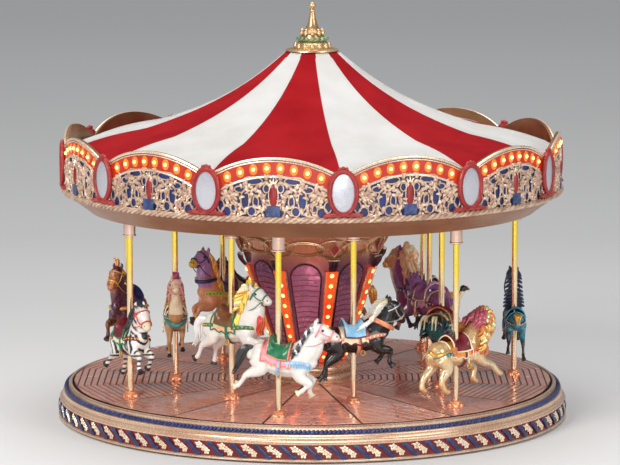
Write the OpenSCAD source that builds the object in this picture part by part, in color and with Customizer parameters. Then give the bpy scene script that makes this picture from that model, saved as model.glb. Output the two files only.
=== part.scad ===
// A clockwork tabletop carousel. A round base holds the spring motor and a music movement. They turn a
// deck, a column and a tented canopy as one turntable, with fourteen riders that rise and fall on poles.
// Millimetres, +Z up, the origin on the table under the centre of the base. An azimuth is measured from
// the front, which is -Y, towards +X, and the turntable turns that way.

/* [Base] */
// Diameter of the base at its bottom lip
base_d = 380; // [378:1:384]
// Height of the deck's top face
deck_top = 26; // [25.6:0.1:27]
// Thickness of the deck
deck_t = 2; // [1.8:0.1:2.2]

/* [Riders] */
// Radius of the outer ring of poles
outer_ring_r = 152; // [150:0.5:153]
// Radius of the inner ring of poles
inner_ring_r = 102.5; // [101:0.5:104]
// Diameter of a pole
pole_d = 4.3; // [4:0.1:4.6]
// Rise of each rider from the bottom of its travel to the top
rider_travel = 8; // [6:0.5:8]
// Azimuth of the first outer rider
first_az = -9; // [-20:1:20]

/* [Column] */
// Corner radius of the eight-sided column where it leaves its foot rings
column_foot_r = 25.3; // [24:0.1:26]
// Corner radius of the column under the ceiling
column_top_r = 65; // [62:0.5:66]
// Azimuth of the column's first corner
column_az = 16.5; // [0:0.5:45]

/* [Canopy] */
// Height of the lower edge of the cornice
rim_z = 156; // [155:0.5:157]
// Outer radius of the cornice wall
cornice_r = 183; // [182:0.5:184]
// Height of the roof where it meets the finial
roof_top = 271.2; // [266:0.2:276]
// Azimuth of the first mirror
mirror_az = 6.6; // [0:0.1:30]

/* [Clockwork] */
// Tooth size of the main gears
gear_module = 1.25; // [1.25:0.01:1.26]
// Gap between the flanks of meshed teeth
gear_slack = 0.3; // [0.25:0.01:0.35]

/* [Hidden] */
$fn = 64;

// Small distances: a running fit on the radius, a fixed fit, and the gap left between moving faces
run_fit = 0.05;
fixed_fit = 0.03;
gap = 0.3;
// How far a cutter runs past a face
past = 1;

// Riders
ring_count = 7;
ring_pitch = 360 / ring_count;
rider_count = 2 * ring_count;
pole_r = pole_d / 2;
bore_r = pole_r + run_fit;

// Base
base_r = base_d / 2;
lip_top = 2.6;
foot_t = 1;
cover_t = 1.4;
cover_z = foot_t;
cover_top = cover_z + cover_t;
wall_in_r = base_r - 4.6;
deck_r = base_r - 11.6;
deck_under = deck_top - deck_t;
screw_count = 6;
screw_ring_r = base_r - 10;
screw_az = 30;

// Movement: two plates between the key pocket and the deck
plate_r = 56;
plate_t = 1.2;
low_plate_z = 9.8;
top_plate_z = 17.6;
wheel_z = top_plate_z + plate_t + 0.8;
wheel_t = 3;
spindle_r = 4;
spindle_top = 52;
arbor_r = 1.5;

// Gear train
pressure_angle = 20;
flank_steps = 2;
ring_teeth = 80;
barrel_teeth = 30;
idler_teeth = 16;
music_teeth = 20;
idler_wheel_teeth = 40;
governor_teeth = 10;
fine_module = 1;
ring_rp = gear_module * ring_teeth / 2;
barrel_dir = 90;
music_dir = 198;
idler_dir = 315;
governor_dir = 200;
barrel_at = polar(ring_rp - gear_module * barrel_teeth / 2, barrel_dir);
music_at = polar(ring_rp - gear_module * music_teeth / 2, music_dir);
idler_at = polar(ring_rp - gear_module * idler_teeth / 2, idler_dir);
governor_at = idler_at + polar(fine_module * (idler_wheel_teeth + governor_teeth) / 2, governor_dir);

// Key pocket and winding arbor
pocket_r = 17;
pocket_roof = 8.4;
key_half = 13;
key_z = 1.6;
key_h = 5.6;
winder_r = 2.5;
ratchet_teeth = 12;
ratchet_r = 8;
ratchet_z = low_plate_z + plate_t + 0.2;
ratchet_t = 1.2;
click_reach = 12;
drum_z = ratchet_z + ratchet_t + 0.3;
drum_r = 17;
drum_wall = 1.2;

// Cam under the poles
cam_z = cover_top + 0.4;
cam_web_t = 1.6;
cam_low = cam_z + 3.4;
cam_half_w = 5;
cam_steps = 5;
tip_z = cam_low + gap;
pole_top = tip_z + rider_travel + 161.6;

// Column and ceiling
foot_rings_top = deck_top + 14.6;
ceiling_z = rim_z + 1.5;
ceiling_t = 2;
ceiling_r = cornice_r - 18.6;
column_wall = 2;
column_rise = ceiling_z - foot_rings_top;
column_lean = atan((column_top_r - column_foot_r) / column_rise);
column_sides = 8;
sleeve_r = 4.7;
sleeve_drop = 13.6;
stem_r = 3.5;

// Battery box above the ceiling, towards the back, between two inner riders
box_az = rider_az(4);
box_r = 83;
door_w = 50;
door_d = 26;
door_t = 1.4;
hinge_r = 0.8;
cell_r = 5.25;
cell_l = 44.5;
switch_r = 122;
switch_travel = 3;

// Canopy
panel_count = 12;
panel_pitch = 360 / panel_count;
panel_az = mirror_az + panel_pitch / 2;
wall_t = 2.4;
rope_z = rim_z + 15.7;
rope_r = 3.4;
wall_z = rim_z + 20;
arch_end_z = rim_z + 48;
arch_rise = 10;
arch_half = 13;
arch_chord = cornice_r * sin(arch_half);
arch_r = (arch_chord * arch_chord + arch_rise * arch_rise) / (2 * arch_rise);
panel_sweep = 29.4;
bulbs_per_panel = 8;
bulb_r = 1.6;
bulb_step = 3.1;
mirror_w = 18;
mirror_h = 28;
mirror_z = rim_z + 34.8;
roof_edge_r = cornice_r - wall_t - 0.4;
roof_edge_z = rim_z + 44;
roof_in_r = 20;
roof_t = 1.2;
roof_steps = 16;

function polar(r, a) = [r * cos(a), r * sin(a)];
function rider_az(i) = first_az + ring_pitch * (i < ring_count ? i : i - ring_count + 0.5);
function rider_r(i) = i < ring_count ? outer_ring_r : inner_ring_r;
// Riders of the outer ring rest at the bottom of their travel, those of the inner ring at the top
function rider_z(i) = i < ring_count ? 0 : rider_travel;

// Places children at an azimuth and radius: local +X is the way the turntable turns, -Y is outwards
module at(az, r, z = 0) {
    rotate([0, 0, az])
        translate([0, -r, z])
            children();
}

module ring(r_out, r_in, h) {
    difference() {
        cylinder(h = h, r = r_out);
        translate([0, 0, -past])
            cylinder(h = h + 2 * past, r = r_in);
    }
}

module torus(r, tube, z) {
    translate([0, 0, z])
        rotate_extrude()
            translate([r, 0])
                circle(r = tube, $fn = 24);
}

// ---- Gears ----

function involute(a) = tan(a) * 180 / PI - a;

function tooth_half(n, m, r, slack) =
    let (
        rp = m * n / 2,
        rb = rp * cos(pressure_angle),
        a = r > rb ? acos(rb / r) : 0
    )
    90 / n - slack * 45 / (PI * rp) + involute(pressure_angle) - involute(a);

function gear_outline(n, m, r_root, r_tip, slack) = [
    for (i = [0 : n - 1])
        for (side = [-1, 1])
            for (k = [0 : flank_steps])
                let (
                    step = side < 0 ? k : flank_steps - k,
                    r = r_root + (r_tip - r_root) * step / flank_steps
                )
                polar(r, 360 / n * i + side * tooth_half(n, m, r, slack))
];

module gear(n, m, h) {
    linear_extrude(h)
        polygon(gear_outline(n, m, m * (n / 2 - 1.2), m * (n / 2 + 0.85), gear_slack));
}

// ---- Base ----

module base_shell() {
    color("firebrick") {
        rotate_extrude($fn = 128)
            polygon([
                [base_r, foot_t - 0.4], [base_r, lip_top], [base_r - 1.6, lip_top + 0.8],
                [base_r - 1.8, 13.4], [base_r - 0.8, 14.2], [base_r - 1, 15.4],
                [base_r - 2.6, 16.6], [base_r - 4.4, 18.4], [base_r - 5, 20],
                [base_r - 9, 25.4], [base_r - 10.8, 25.4], [base_r - 10.8, deck_under - 0.6],
                [base_r - 18, deck_under - 0.6], [base_r - 18, deck_under - 2.4],
                [base_r - 9, deck_under - 2.4], [wall_in_r, 18], [wall_in_r, foot_t - 0.4]
            ]);
        torus(base_r - 6.6, 2.6, 21.8);
        for (i = [0 : screw_count - 1])
            at(screw_az + i * 360 / screw_count, screw_ring_r, cover_top + 0.1)
                screw_boss();
    }
}

module screw_boss() {
    difference() {
        union() {
            cylinder(h = 9, r = 3.6);
            translate([-2, -6, 0])
                cube([4, 6, 9]);
        }
        translate([0, 0, -past])
            cylinder(h = 8, r = 1.3);
    }
}

module bottom_cover() {
    color("dimgray")
        difference() {
            union() {
                translate([0, 0, cover_z])
                    cylinder(h = cover_t, r = wall_in_r - 0.1, $fn = 128);
                translate([barrel_at[0], barrel_at[1], cover_z])
                    cylinder(h = pocket_roof + plate_t - cover_z, r = pocket_r + plate_t);
            }
            translate([barrel_at[0], barrel_at[1], cover_z - past])
                cylinder(h = pocket_roof - cover_z + past, r = pocket_r);
            translate([barrel_at[0], barrel_at[1], cover_z])
                cylinder(h = 2 * pocket_roof, r = winder_r + run_fit);
            for (i = [0 : screw_count - 1])
                at(screw_az + i * 360 / screw_count, screw_ring_r, cover_z - past)
                    cylinder(h = cover_t + 2 * past, r = 1.5);
        }
}

module rubber_feet() {
    color("black")
        for (i = [0 : screw_count - 1])
            at(i * 360 / screw_count, screw_ring_r - 10)
                cylinder(h = foot_t, r = 7);
}

module bottom_screws() {
    color("silver")
        for (i = [0 : screw_count - 1])
            at(screw_az + i * 360 / screw_count, screw_ring_r) {
                translate([0, 0, 0.3])
                    cylinder(h = cover_z - 0.3, r = 2.8);
                cylinder(h = 8, r = 1.25);
            }
}

// ---- Movement ----

module plate(z) {
    translate([0, 0, z])
        difference() {
            cylinder(h = plate_t, r = plate_r);
            translate([0, 0, -past]) {
                cylinder(h = plate_t + 2 * past, r = spindle_r + fixed_fit);
                for (p = [music_at, idler_at, governor_at])
                    translate(p)
                        cylinder(h = plate_t + 2 * past, r = arbor_r + run_fit);
                translate(barrel_at)
                    cylinder(h = plate_t + 2 * past, r = (z == low_plate_z ? winder_r : 6) + run_fit);
            }
        }
}

module movement_frame() {
    color("goldenrod") {
        plate(low_plate_z);
        plate(top_plate_z);
        for (a = [20, 145, 240, 355])
            translate([48 * cos(a), 48 * sin(a), cover_top])
                cylinder(h = top_plate_z - cover_top + 0.2, r = 3);
    }
}

module spindle() {
    color("silver") {
        translate([0, 0, cover_top])
            cylinder(h = spindle_top - cover_top, r = spindle_r);
        translate([0, 0, top_plate_z + plate_t])
            cylinder(h = 3.8, r = 7);
    }
}

module music_comb() {
    tine_t = 0.6;
    color("lightgray")
        translate([music_at[0], music_at[1], low_plate_z + plate_t])
            rotate([0, 0, 108]) {
                translate([20, -3, 0])
                    cube([6, 6, 6]);
                for (i = [0 : 5])
                    translate([8.2, -1.2, 0.3 + i])
                        cube([12, 2.4, tine_t]);
            }
}

module winding_key() {
    color("silver")
        translate([barrel_at[0], barrel_at[1], key_z]) {
            difference() {
                cylinder(h = key_h, r = 4);
                translate([0, 0, 1.5])
                    cylinder(h = key_h, r = winder_r + fixed_fit);
            }
            for (side = [0, 180])
                rotate([0, 0, side])
                    translate([0, -0.9, 0])
                        key_wing();
        }
}

module key_wing() {
    difference() {
        translate([3.6, 0, 0])
            cube([key_half - 3.6, 1.8, key_h]);
        translate([8.6, -past, key_h / 2])
            rotate([-90, 0, 0])
                cylinder(h = 1.8 + 2 * past, r = 1.6);
    }
}

module winding_arbor() {
    color("gainsboro")
        translate([barrel_at[0], barrel_at[1], 0]) {
            translate([0, 0, key_z + 1.6])
                cylinder(h = wheel_z + wheel_t + 0.8 - key_z - 1.6, r = winder_r);
            translate([0, 0, ratchet_z])
                linear_extrude(ratchet_t)
                    polygon([
                        for (i = [0 : ratchet_teeth - 1])
                            for (k = [0, 1])
                                polar(ratchet_r - 1.8 * k, 360 / ratchet_teeth * (i + 0.04 * k))
                    ]);
        }
}

// The pawl that holds the ratchet: an arm on a pivot, with its tip in a tooth space
module click() {
    color("slategray")
        translate([barrel_at[0], barrel_at[1], ratchet_z]) {
            difference() {
                translate([click_reach, 0, 0])
                    cylinder(h = ratchet_t, r = 2.2);
                translate([click_reach, 0, -past])
                    cylinder(h = ratchet_t + 2 * past, r = 0.8);
            }
            linear_extrude(ratchet_t)
                polygon([[10.6, 1.4], [7.1, 4.9], [7.9, 5.7], [12.6, 1.9]]);
        }
}

module spring_barrel() {
    drum_top = top_plate_z - 0.2;
    color("darkgoldenrod")
        translate([barrel_at[0], barrel_at[1], 0])
            difference() {
                union() {
                    translate([0, 0, drum_z])
                        cylinder(h = drum_top - drum_z, r = drum_r);
                    translate([0, 0, drum_top - past])
                        cylinder(h = wheel_z - drum_top + 2 * past, r = 6);
                    translate([0, 0, wheel_z])
                        rotate([0, 0, barrel_dir])
                            gear(barrel_teeth, gear_module, wheel_t);
                }
                translate([0, 0, drum_z + drum_wall / 2])
                    cylinder(h = drum_top - drum_z - drum_wall, r = drum_r - drum_wall);
                translate([0, 0, drum_z - past])
                    cylinder(h = 20, r = winder_r + run_fit);
            }
}

module mainspring() {
    turns = 7;
    steps = 20;
    strip = 0.4;
    inner = 3.4;
    outer = drum_r - drum_wall - 0.3;
    count = turns * steps;
    color("steelblue")
        translate([barrel_at[0], barrel_at[1], drum_z + 0.8])
            linear_extrude(top_plate_z - drum_z - 1.8)
                polygon([
                    for (side = [0, 1])
                        for (i = [0 : count])
                            let (
                                k = side == 0 ? i : count - i,
                                r = inner + (outer - strip - inner) * k / count + side * strip
                            )
                            polar(r, k * 360 / steps)
                ]);
}

module idler_gear() {
    color("goldenrod")
        translate([idler_at[0], idler_at[1], 0]) {
            translate([0, 0, low_plate_z])
                cylinder(h = wheel_z + wheel_t - low_plate_z, r = arbor_r);
            translate([0, 0, wheel_z])
                rotate([0, 0, idler_dir])
                    gear(idler_teeth, gear_module, wheel_t);
            translate([0, 0, 15.4])
                rotate([0, 0, governor_dir])
                    gear(idler_wheel_teeth, fine_module, 1.6);
        }
}

// The air brake that keeps the speed steady: a fan with two weighted vanes
module governor() {
    color("silver")
        translate([governor_at[0], governor_at[1], 0]) {
            translate([0, 0, low_plate_z])
                cylinder(h = top_plate_z + plate_t - low_plate_z, r = arbor_r);
            translate([0, 0, 14.8])
                rotate([0, 0, governor_dir + 180 + 180 / governor_teeth])
                    gear(governor_teeth, fine_module, 2.6);
            for (a = [0, 180])
                rotate([0, 0, a])
                    translate([1, -0.5, 11.4])
                        cube([8, 1, 2.8]);
        }
}

module music_cylinder() {
    drum_h = top_plate_z - low_plate_z - plate_t - 0.6;
    pin_r = 0.35;
    color("goldenrod")
        translate([music_at[0], music_at[1], 0]) {
            translate([0, 0, low_plate_z])
                cylinder(h = wheel_z + wheel_t - low_plate_z, r = arbor_r);
            translate([0, 0, low_plate_z + plate_t + 0.3])
                cylinder(h = drum_h, r = 7);
            for (i = [0 : 35])
                rotate([0, 0, i * 50])
                    translate([6.8, 0, 11.8 + (i % 6)])
                        rotate([0, 90, 0])
                            cylinder(h = 0.8, r = pin_r);
            translate([0, 0, wheel_z])
                rotate([0, 0, music_dir])
                    gear(music_teeth, gear_module, wheel_t);
        }
}

// ---- Cam: two wavy tracks on one web; it is lowest under the outer poles, highest under the inner ----

cam_n = rider_count * cam_steps;
function cam_lift(i) =
    let (u = (i % (2 * cam_steps)) / cam_steps)
    cam_low + rider_travel * (u < 1 ? u : 2 - u);
function cam_points(r) = [
    for (i = [0 : cam_n - 1])
        let (a = first_az - 90 + i * ring_pitch / (2 * cam_steps))
        each [
            [(r - cam_half_w) * cos(a), (r - cam_half_w) * sin(a), cam_z + 0.4],
            [(r + cam_half_w) * cos(a), (r + cam_half_w) * sin(a), cam_z + 0.4],
            [(r + cam_half_w) * cos(a), (r + cam_half_w) * sin(a), cam_lift(i)],
            [(r - cam_half_w) * cos(a), (r - cam_half_w) * sin(a), cam_lift(i)]
        ]
];
// Corners of one slice: 0 inner bottom, 1 outer bottom, 2 outer top, 3 inner top
function cam_faces() = [
    for (i = [0 : cam_n - 1])
        let (a = 4 * i, b = 4 * ((i + 1) % cam_n))
        each [
            [a + 1, a + 2, b + 2], [a + 1, b + 2, b + 1],
            [a + 2, a + 3, b + 3], [a + 2, b + 3, b + 2],
            [a + 1, b + 1, b], [a + 1, b, a],
            [a, b + 3, a + 3], [a, b, b + 3]
        ]
];

module cam_ring() {
    color("ivory") {
        for (r = [inner_ring_r, outer_ring_r])
            polyhedron(points = cam_points(r), faces = cam_faces());
        translate([0, 0, cam_z])
            ring(outer_ring_r + cam_half_w + 1, inner_ring_r - cam_half_w - 1, cam_web_t);
    }
}

// ---- Turntable ----

module deck() {
    color("rosybrown")
        difference() {
            union() {
                translate([0, 0, deck_under])
                    cylinder(h = deck_t, r = deck_r, $fn = 128);
                translate([0, 0, deck_under - 1.2])
                    cylinder(h = 20, r = 9);
            }
            translate([0, 0, deck_under - 2 * past])
                cylinder(h = 30, r = spindle_r + run_fit);
            for (i = [0 : rider_count - 1])
                at(rider_az(i), rider_r(i), deck_under - past)
                    cylinder(h = deck_t + 2 * past, r = stem_r + fixed_fit);
        }
}

module deck_ring_gear() {
    color("ivory")
        translate([0, 0, wheel_z - 0.2])
            linear_extrude(deck_under - wheel_z + 0.2)
                difference() {
                    circle(r = ring_rp + 5, $fn = 96);
                    polygon(gear_outline(ring_teeth, gear_module, ring_rp - 0.8 * gear_module,
                        ring_rp + 1.2 * gear_module, -gear_slack));
                }
}

// Four-lobed socket where each pole goes through the deck, with a stem through the deck
module pole_feet() {
    lobe = 3.1;
    color("peru")
        for (i = [0 : rider_count - 1])
            at(rider_az(i), rider_r(i), deck_under - 1.4)
                difference() {
                    union() {
                        cylinder(h = deck_t + 1.6, r = stem_r);
                        for (a = [0 : 90 : 270])
                            rotate([0, 0, a])
                                translate([lobe, 0, deck_t + 1.4])
                                    cylinder(h = 2.2, r = lobe);
                        translate([0, 0, deck_t + 1.4])
                            cylinder(h = 5, r = 3.8);
                    }
                    translate([0, 0, -past])
                        cylinder(h = 12, r = bore_r);
                }
}

module column_shell() {
    side_turn = column_az - 90;
    color("mediumorchid") {
        rotate([0, 0, side_turn])
            difference() {
                translate([0, 0, foot_rings_top])
                    cylinder(h = column_rise, r1 = column_foot_r, r2 = column_top_r, $fn = column_sides);
                translate([0, 0, foot_rings_top - 0.1])
                    cylinder(h = column_rise + 0.2, r1 = column_foot_r - column_wall,
                        r2 = column_top_r - column_wall, $fn = column_sides);
            }
        translate([0, 0, deck_top])
            ring(25.5, 21, foot_rings_top - deck_top);
    }
    color("gold")
        for (z = [3.8, 11])
            torus(26.2, 3.7, deck_top + z);
}

// Glowing strips up the column's eight corners, each with a row of small domes
module column_lamp_strips() {
    strip_l = 88;
    lamp_step = 8;
    color("orange")
        for (k = [0 : column_sides - 1])
            at(column_az + k * 45, column_foot_r, foot_rings_top)
                rotate([column_lean, 0, 0]) {
                    translate([-2.2, -2.4, 2])
                        cube([4.4, 2.2, strip_l]);
                    for (z = [6 : lamp_step : strip_l - 2])
                        translate([0, -2.4, z])
                            sphere(r = 1.5, $fn = 24);
                }
}

module ceiling_plate() {
    color("saddlebrown")
        difference() {
            translate([0, 0, ceiling_z])
                cylinder(h = ceiling_t, r = ceiling_r, $fn = 128);
            for (i = [0 : rider_count - 1])
                at(rider_az(i), rider_r(i), ceiling_z - past)
                    cylinder(h = ceiling_t + 2 * past, r = stem_r + fixed_fit);
            at(box_az, box_r, ceiling_z - past)
                translate([-door_w / 2 - gap, -door_d / 2 - gap, 0])
                    cube([door_w + 2 * gap, door_d + 2 * gap + 1.6, ceiling_t + 2 * past]);
            at(box_az, switch_r, ceiling_z - past)
                translate([-1, -2, 0])
                    cube([switch_travel + 5, 4, ceiling_t + 2 * past]);
            translate([0, 0, ceiling_z - past])
                cylinder(h = ceiling_t + 2 * past, r = 3 + fixed_fit);
        }
}

module pole_sleeves() {
    color("peru")
        for (i = [0 : rider_count - 1])
            at(rider_az(i), rider_r(i), ceiling_z - sleeve_drop)
                difference() {
                    union() {
                        cylinder(h = sleeve_drop, r = sleeve_r);
                        cylinder(h = sleeve_drop + 4, r = stem_r);
                    }
                    translate([0, 0, -past])
                        cylinder(h = sleeve_drop + 8, r = bore_r);
                }
}

// Open-bottomed box with its two cells, standing on the ceiling over the door
module battery_holder() {
    box_h = 13;
    wall = 1.2;
    box_w = door_w + 6;
    box_l = door_d + 6;
    at(box_az, box_r, ceiling_z + ceiling_t) {
        color("black")
            difference() {
                translate([-box_w / 2, -box_l / 2, 0])
                    cube([box_w, box_l, box_h]);
                translate([-box_w / 2 + wall, -box_l / 2 + wall, -past])
                    cube([box_w - 2 * wall, box_l - 2 * wall, box_h - wall + past]);
            }
        color("darkgreen")
            for (y = [-1, 1])
                translate([-cell_l / 2, y * (cell_r + 0.5), cell_r + 1])
                    rotate([0, 90, 0])
                        cylinder(h = cell_l, r = cell_r);
    }
}

// Flap in the ceiling, with its hinge pin along its inner edge
module battery_door() {
    color("sienna")
        at(box_az, box_r, ceiling_z) {
            translate([-door_w / 2, -door_d / 2, 0])
                cube([door_w, door_d, door_t]);
            translate([-door_w / 2, door_d / 2, 0])
                rotate([0, 90, 0])
                    cylinder(h = door_w, r = hinge_r);
        }
}

module lamp_switch() {
    color("black")
        at(box_az, switch_r) {
            translate([0, -1.6, ceiling_z - 1.8])
                cube([3, 3.2, ceiling_t + 2]);
            translate([-2, -2.6, ceiling_z + ceiling_t + 0.1])
                cube([7, 5.2, 1]);
        }
}

module cornice_shell() {
    color("navy")
        for (k = [0 : panel_count - 1])
            rotate([0, 0, panel_az - 90 + k * panel_pitch])
                arched_wall();
    color("peru")
        rotate_extrude($fn = 128)
            polygon([
                [ceiling_r + 0.2, rim_z], [ceiling_r + 2.2, rim_z], [cornice_r, rim_z + 12.2],
                [cornice_r, wall_z], [cornice_r - wall_t, wall_z],
                [cornice_r - wall_t, rim_z + 13.6], [ceiling_r + 0.2, rim_z + 1.4]
            ]);
    color("gold")
        torus(cornice_r + 1, rope_r, rope_z);
}

// One curved panel of the cornice, cut to an arch by a cylinder that lies along its radius
module arched_wall() {
    intersection() {
        rotate([0, 0, -panel_sweep / 2])
            rotate_extrude(angle = panel_sweep, $fn = 128)
                translate([cornice_r - wall_t, wall_z + fixed_fit])
                    square([wall_t, arch_end_z + arch_rise - wall_z + past]);
        translate([cornice_r - 30, 0, arch_end_z + arch_rise - arch_r])
            rotate([0, 90, 0])
                cylinder(h = 60, r = arch_r, $fn = 96);
    }
}

module cornice_bulbs() {
    row_z = arch_end_z + arch_rise - arch_r;
    color("gold")
        for (k = [0 : panel_count - 1])
            for (i = [0 : bulbs_per_panel - 1])
                let (
                    turn = (i - (bulbs_per_panel - 1) / 2) * bulb_step,
                    across = cornice_r * sin(turn),
                    up = sqrt(pow(arch_r - 5, 2) - across * across)
                )
                at(panel_az + k * panel_pitch + turn, cornice_r + 0.05, row_z + up)
                    rotate([90, 0, 0]) {
                        cylinder(h = bulb_r, r = bulb_r, $fn = 24);
                        translate([0, 0, bulb_r])
                            sphere(r = bulb_r * 0.94, $fn = 24);
                    }
}

module oval(w, h) {
    translate([0, (h - w) / 2])
        circle(r = w / 2, $fn = 32);
    translate([0, (w - h) / 2])
        circle(r = w / 2, $fn = 32);
    square([w, h - w], center = true);
}

// Stands one flat oval piece against the cornice wall at each mirror's azimuth
module mirror_places(offset_r) {
    for (k = [0 : panel_count - 1])
        at(mirror_az + k * panel_pitch, cornice_r + offset_r, mirror_z)
            rotate([90, 0, 0])
                children();
}

module mirror_frames() {
    frame_w = 3;
    foot_w = 24;
    color("firebrick")
        difference() {
            mirror_places(0.1) {
                linear_extrude(1)
                    oval(mirror_w + 1, mirror_h + 1);
                linear_extrude(3.6)
                    difference() {
                        union() {
                            oval(mirror_w + 2 * frame_w, mirror_h + 2 * frame_w);
                            translate([-foot_w / 2, -mirror_h / 2 + 1 - frame_w])
                                square([foot_w, 4]);
                        }
                        oval(mirror_w + 0.1, mirror_h + 0.1);
                    }
            }
            torus(cornice_r + 1, rope_r + 0.1, rope_z);
        }
}

module mirrors() {
    color("white")
        mirror_places(1.1)
            linear_extrude(1.4)
                oval(mirror_w, mirror_h);
}

// Height of the tent above its edge, from 0 at the edge to 1 at the top: it droops at the eaves, runs
// nearly flat, then sweeps up to the finial
function tent(t) = 0.58 * t + 0.42 * pow(t, 3.5) + (t < 0.35 ? 0.03 * sin(180 * t / 0.35) : 0);

function tent_outline(drop) = [
    for (i = [0 : roof_steps])
        let (t = i / roof_steps)
        [
            roof_edge_r + (roof_in_r - roof_edge_r) * t,
            roof_edge_z + (roof_top - roof_edge_z) * tent(t) - drop
        ]
];

module roof_canopy() {
    under = tent_outline(roof_t);
    hole_r = 3 + gap;
    color("crimson")
        rotate_extrude($fn = 128)
            polygon(concat(
                tent_outline(0),
                [[hole_r, roof_top], [hole_r, roof_top - roof_t]],
                [for (i = [roof_steps : -1 : 0]) under[i]]
            ));
}

module finial() {
    z = roof_top + 0.4;
    color("gold") {
        rotate_extrude()
            polygon([
                [0, z], [19.4, z], [19.8, z + 1], [19.4, z + 3], [13, z + 4], [13.8, z + 6.6], [12, z + 8.8],
                [10.4, z + 9], [11.2, z + 11], [8.6, z + 13], [9.7, z + 17], [8.4, z + 20.6], [5, z + 21.4],
                [5.8, z + 23], [1.5, z + 29], [1.2, z + 32], [0, z + 32]
            ]);
        translate([0, 0, z + 33.6])
            sphere(r = 2.6);
        translate([0, 0, ceiling_z])
            cylinder(h = z - ceiling_z, r = 3);
    }
}

// ---- Riders ----

module pole(i) {
    low = tip_z + rider_z(i) + pole_r;
    color("goldenrod")
        at(rider_az(i), rider_r(i), low) {
            cylinder(h = pole_top - rider_travel - tip_z - pole_r, r = pole_r);
            sphere(r = pole_r);
        }
}

// A tapered limb between two points, with a round joint at its far end
module limb(a, b, ra, rb) {
    d = b - a;
    len = norm(d);
    translate(a)
        rotate([0, acos(d[2] / len), atan2(d[1], d[0])])
            cylinder(h = len, r1 = ra, r2 = rb, $fn = 32);
    translate(b)
        sphere(r = rb * 1.07, $fn = 32);
}

// Stands an animal on its pole, with the pole's bore through it; its middle is at body_z above the deck
module on_pole(i, body_z = 40) {
    at(rider_az(i), rider_r(i), deck_top + body_z + rider_z(i))
        difference() {
            union()
                children();
            translate([0, 0, -40])
                cylinder(h = 80, r = bore_r);
        }
}

// Barrel of the body along X, with rounded rump and chest
module torso(long, r) {
    limb([-long / 2, 0, 0.6], [long / 2, 0, 0], r * 0.93, r * 0.95);
    translate([-long / 2, 0, 0.6])
        sphere(r = r, $fn = 32);
}

// A pair of legs from shoulder or hip to knee to hoof, set apart by the given spread
module leg_pair(top, knee, hoof, r, spread, stride) {
    for (side = [-1, 1]) {
        out = [0, side * spread, 0];
        swing = [side * stride, 0, side * stride * 0.4];
        limb(top + out, knee + out + swing, r * 1.5, r);
        limb(knee + out + swing, hoof + out + swing * 1.6, r, r * 0.8);
    }
}

// A saddle and its blanket: two bands around the barrel
module saddle(r) {
    rotate([0, 90, 0])
        translate([0, 0, -8])
            cylinder(h = 15, r = r + 0.7, $fn = 32);
    translate([-5, 0, r * 0.5])
        rotate([0, 90, 0])
            cylinder(h = 9.5, r = r * 0.72, $fn = 32);
}

module horse_figure(poll = [24, 0, 25], nose = [36, 0, 18], long = 28, r = 8.8, tail = [-30, 0, -8]) {
    half = long / 2;
    torso(long, r);
    saddle(r);
    limb([half - 1, 0, 3], poll, r * 0.75, 4.6);
    limb(poll, nose, 4.5, 2.7);
    for (side = [-1, 1])
        limb(poll + [-1, side * 1.8, 2], poll + [-1.4, side * 2.4, 6.4], 1.5, 0.6);
    limb(poll + [-3.4, 0, 1], [half - 2, 0, 7], 3, 3.6);
    leg_pair([half - 1, 0, -4], [half + 9, 0, -13], [half + 3, 0, -23], 2, 4, 2);
    leg_pair([-half, 0, -4], [-half - 4, 0, -16], [-half - 10, 0, -25], 2.3, 4.4, -2);
    limb([-half - 6, 0, 4], tail, 2.4, 2.8);
}

module white_horse() {
    color("white")
        on_pole(0)
            horse_figure(poll = [31, 0, 22], nose = [42, 0, 14], long = 32);
}

module lion() {
    color("goldenrod")
        on_pole(1, 38) {
            torso(32, 8.6);
            saddle(8.6);
            limb([15, 0, 5], [22, 0, 12], 9, 11);
            limb([22, 0, 12], [33, 0, 9], 5.6, 3.8);
            leg_pair([15, 0, -4], [26, 0, -11], [30, 0, -19], 2.6, 4.4, 2);
            leg_pair([-16, 0, -4], [-14, 0, -16], [-19, 0, -25], 2.8, 4.8, -2);
            limb([-22, 0, 4], [-32, 0, -8], 1.6, 1.5);
            limb([-32, 0, -8], [-30, 0, -15], 1.5, 2.8);
        }
}

module goat() {
    color("darkslategray")
        on_pole(2, 42) {
            horse_figure(poll = [17, 0, 27], nose = [27, 0, 24], long = 22, r = 7.8, tail = [-20, 0, -12]);
            for (side = [-1, 1])
                limb([15, side * 2.4, 29], [8, side * 3.6, 33], 1.4, 0.8);
        }
}

module copper_horse() {
    color("sienna")
        on_pole(3, 42)
            horse_figure(poll = [22, 0, 33], nose = [32, 0, 24]);
}

module bay_horse() {
    color("saddlebrown")
        on_pole(4)
            horse_figure();
}

module plum_horse() {
    color("indigo")
        on_pole(5, 42)
            horse_figure(poll = [20, 0, 33], nose = [31, 0, 25]);
}

module zebra() {
    color("whitesmoke")
        on_pole(6, 38)
            horse_figure(poll = [20, 0, 18], nose = [31, 0, 9], long = 24, r = 8.2, tail = [-27, 0, -10]);
}

module black_horse() {
    color("black")
        on_pole(7, 37)
            horse_figure(poll = [27, 0, 20], nose = [37, 0, 12], long = 32, r = 8.4);
}

module ostrich() {
    color("teal")
        on_pole(8, 38) {
            torso(22, 9.4);
            saddle(9.4);
            limb([11, 0, 5], [16, 0, 18], 4.2, 2.2);
            limb([16, 0, 18], [19, 0, 30], 2.2, 2);
            limb([19, 0, 31], [28, 0, 30], 3.2, 1.2);
            limb([-13, 0, 4], [-26, 0, 10], 5, 3);
            for (side = [-1, 1]) {
                limb([3, side * 4, -6], [8, side * 4, -18], 2.8, 1.6);
                limb([8, side * 4, -18], [-2, side * 4, -29], 1.6, 1.4);
            }
        }
}

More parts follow.
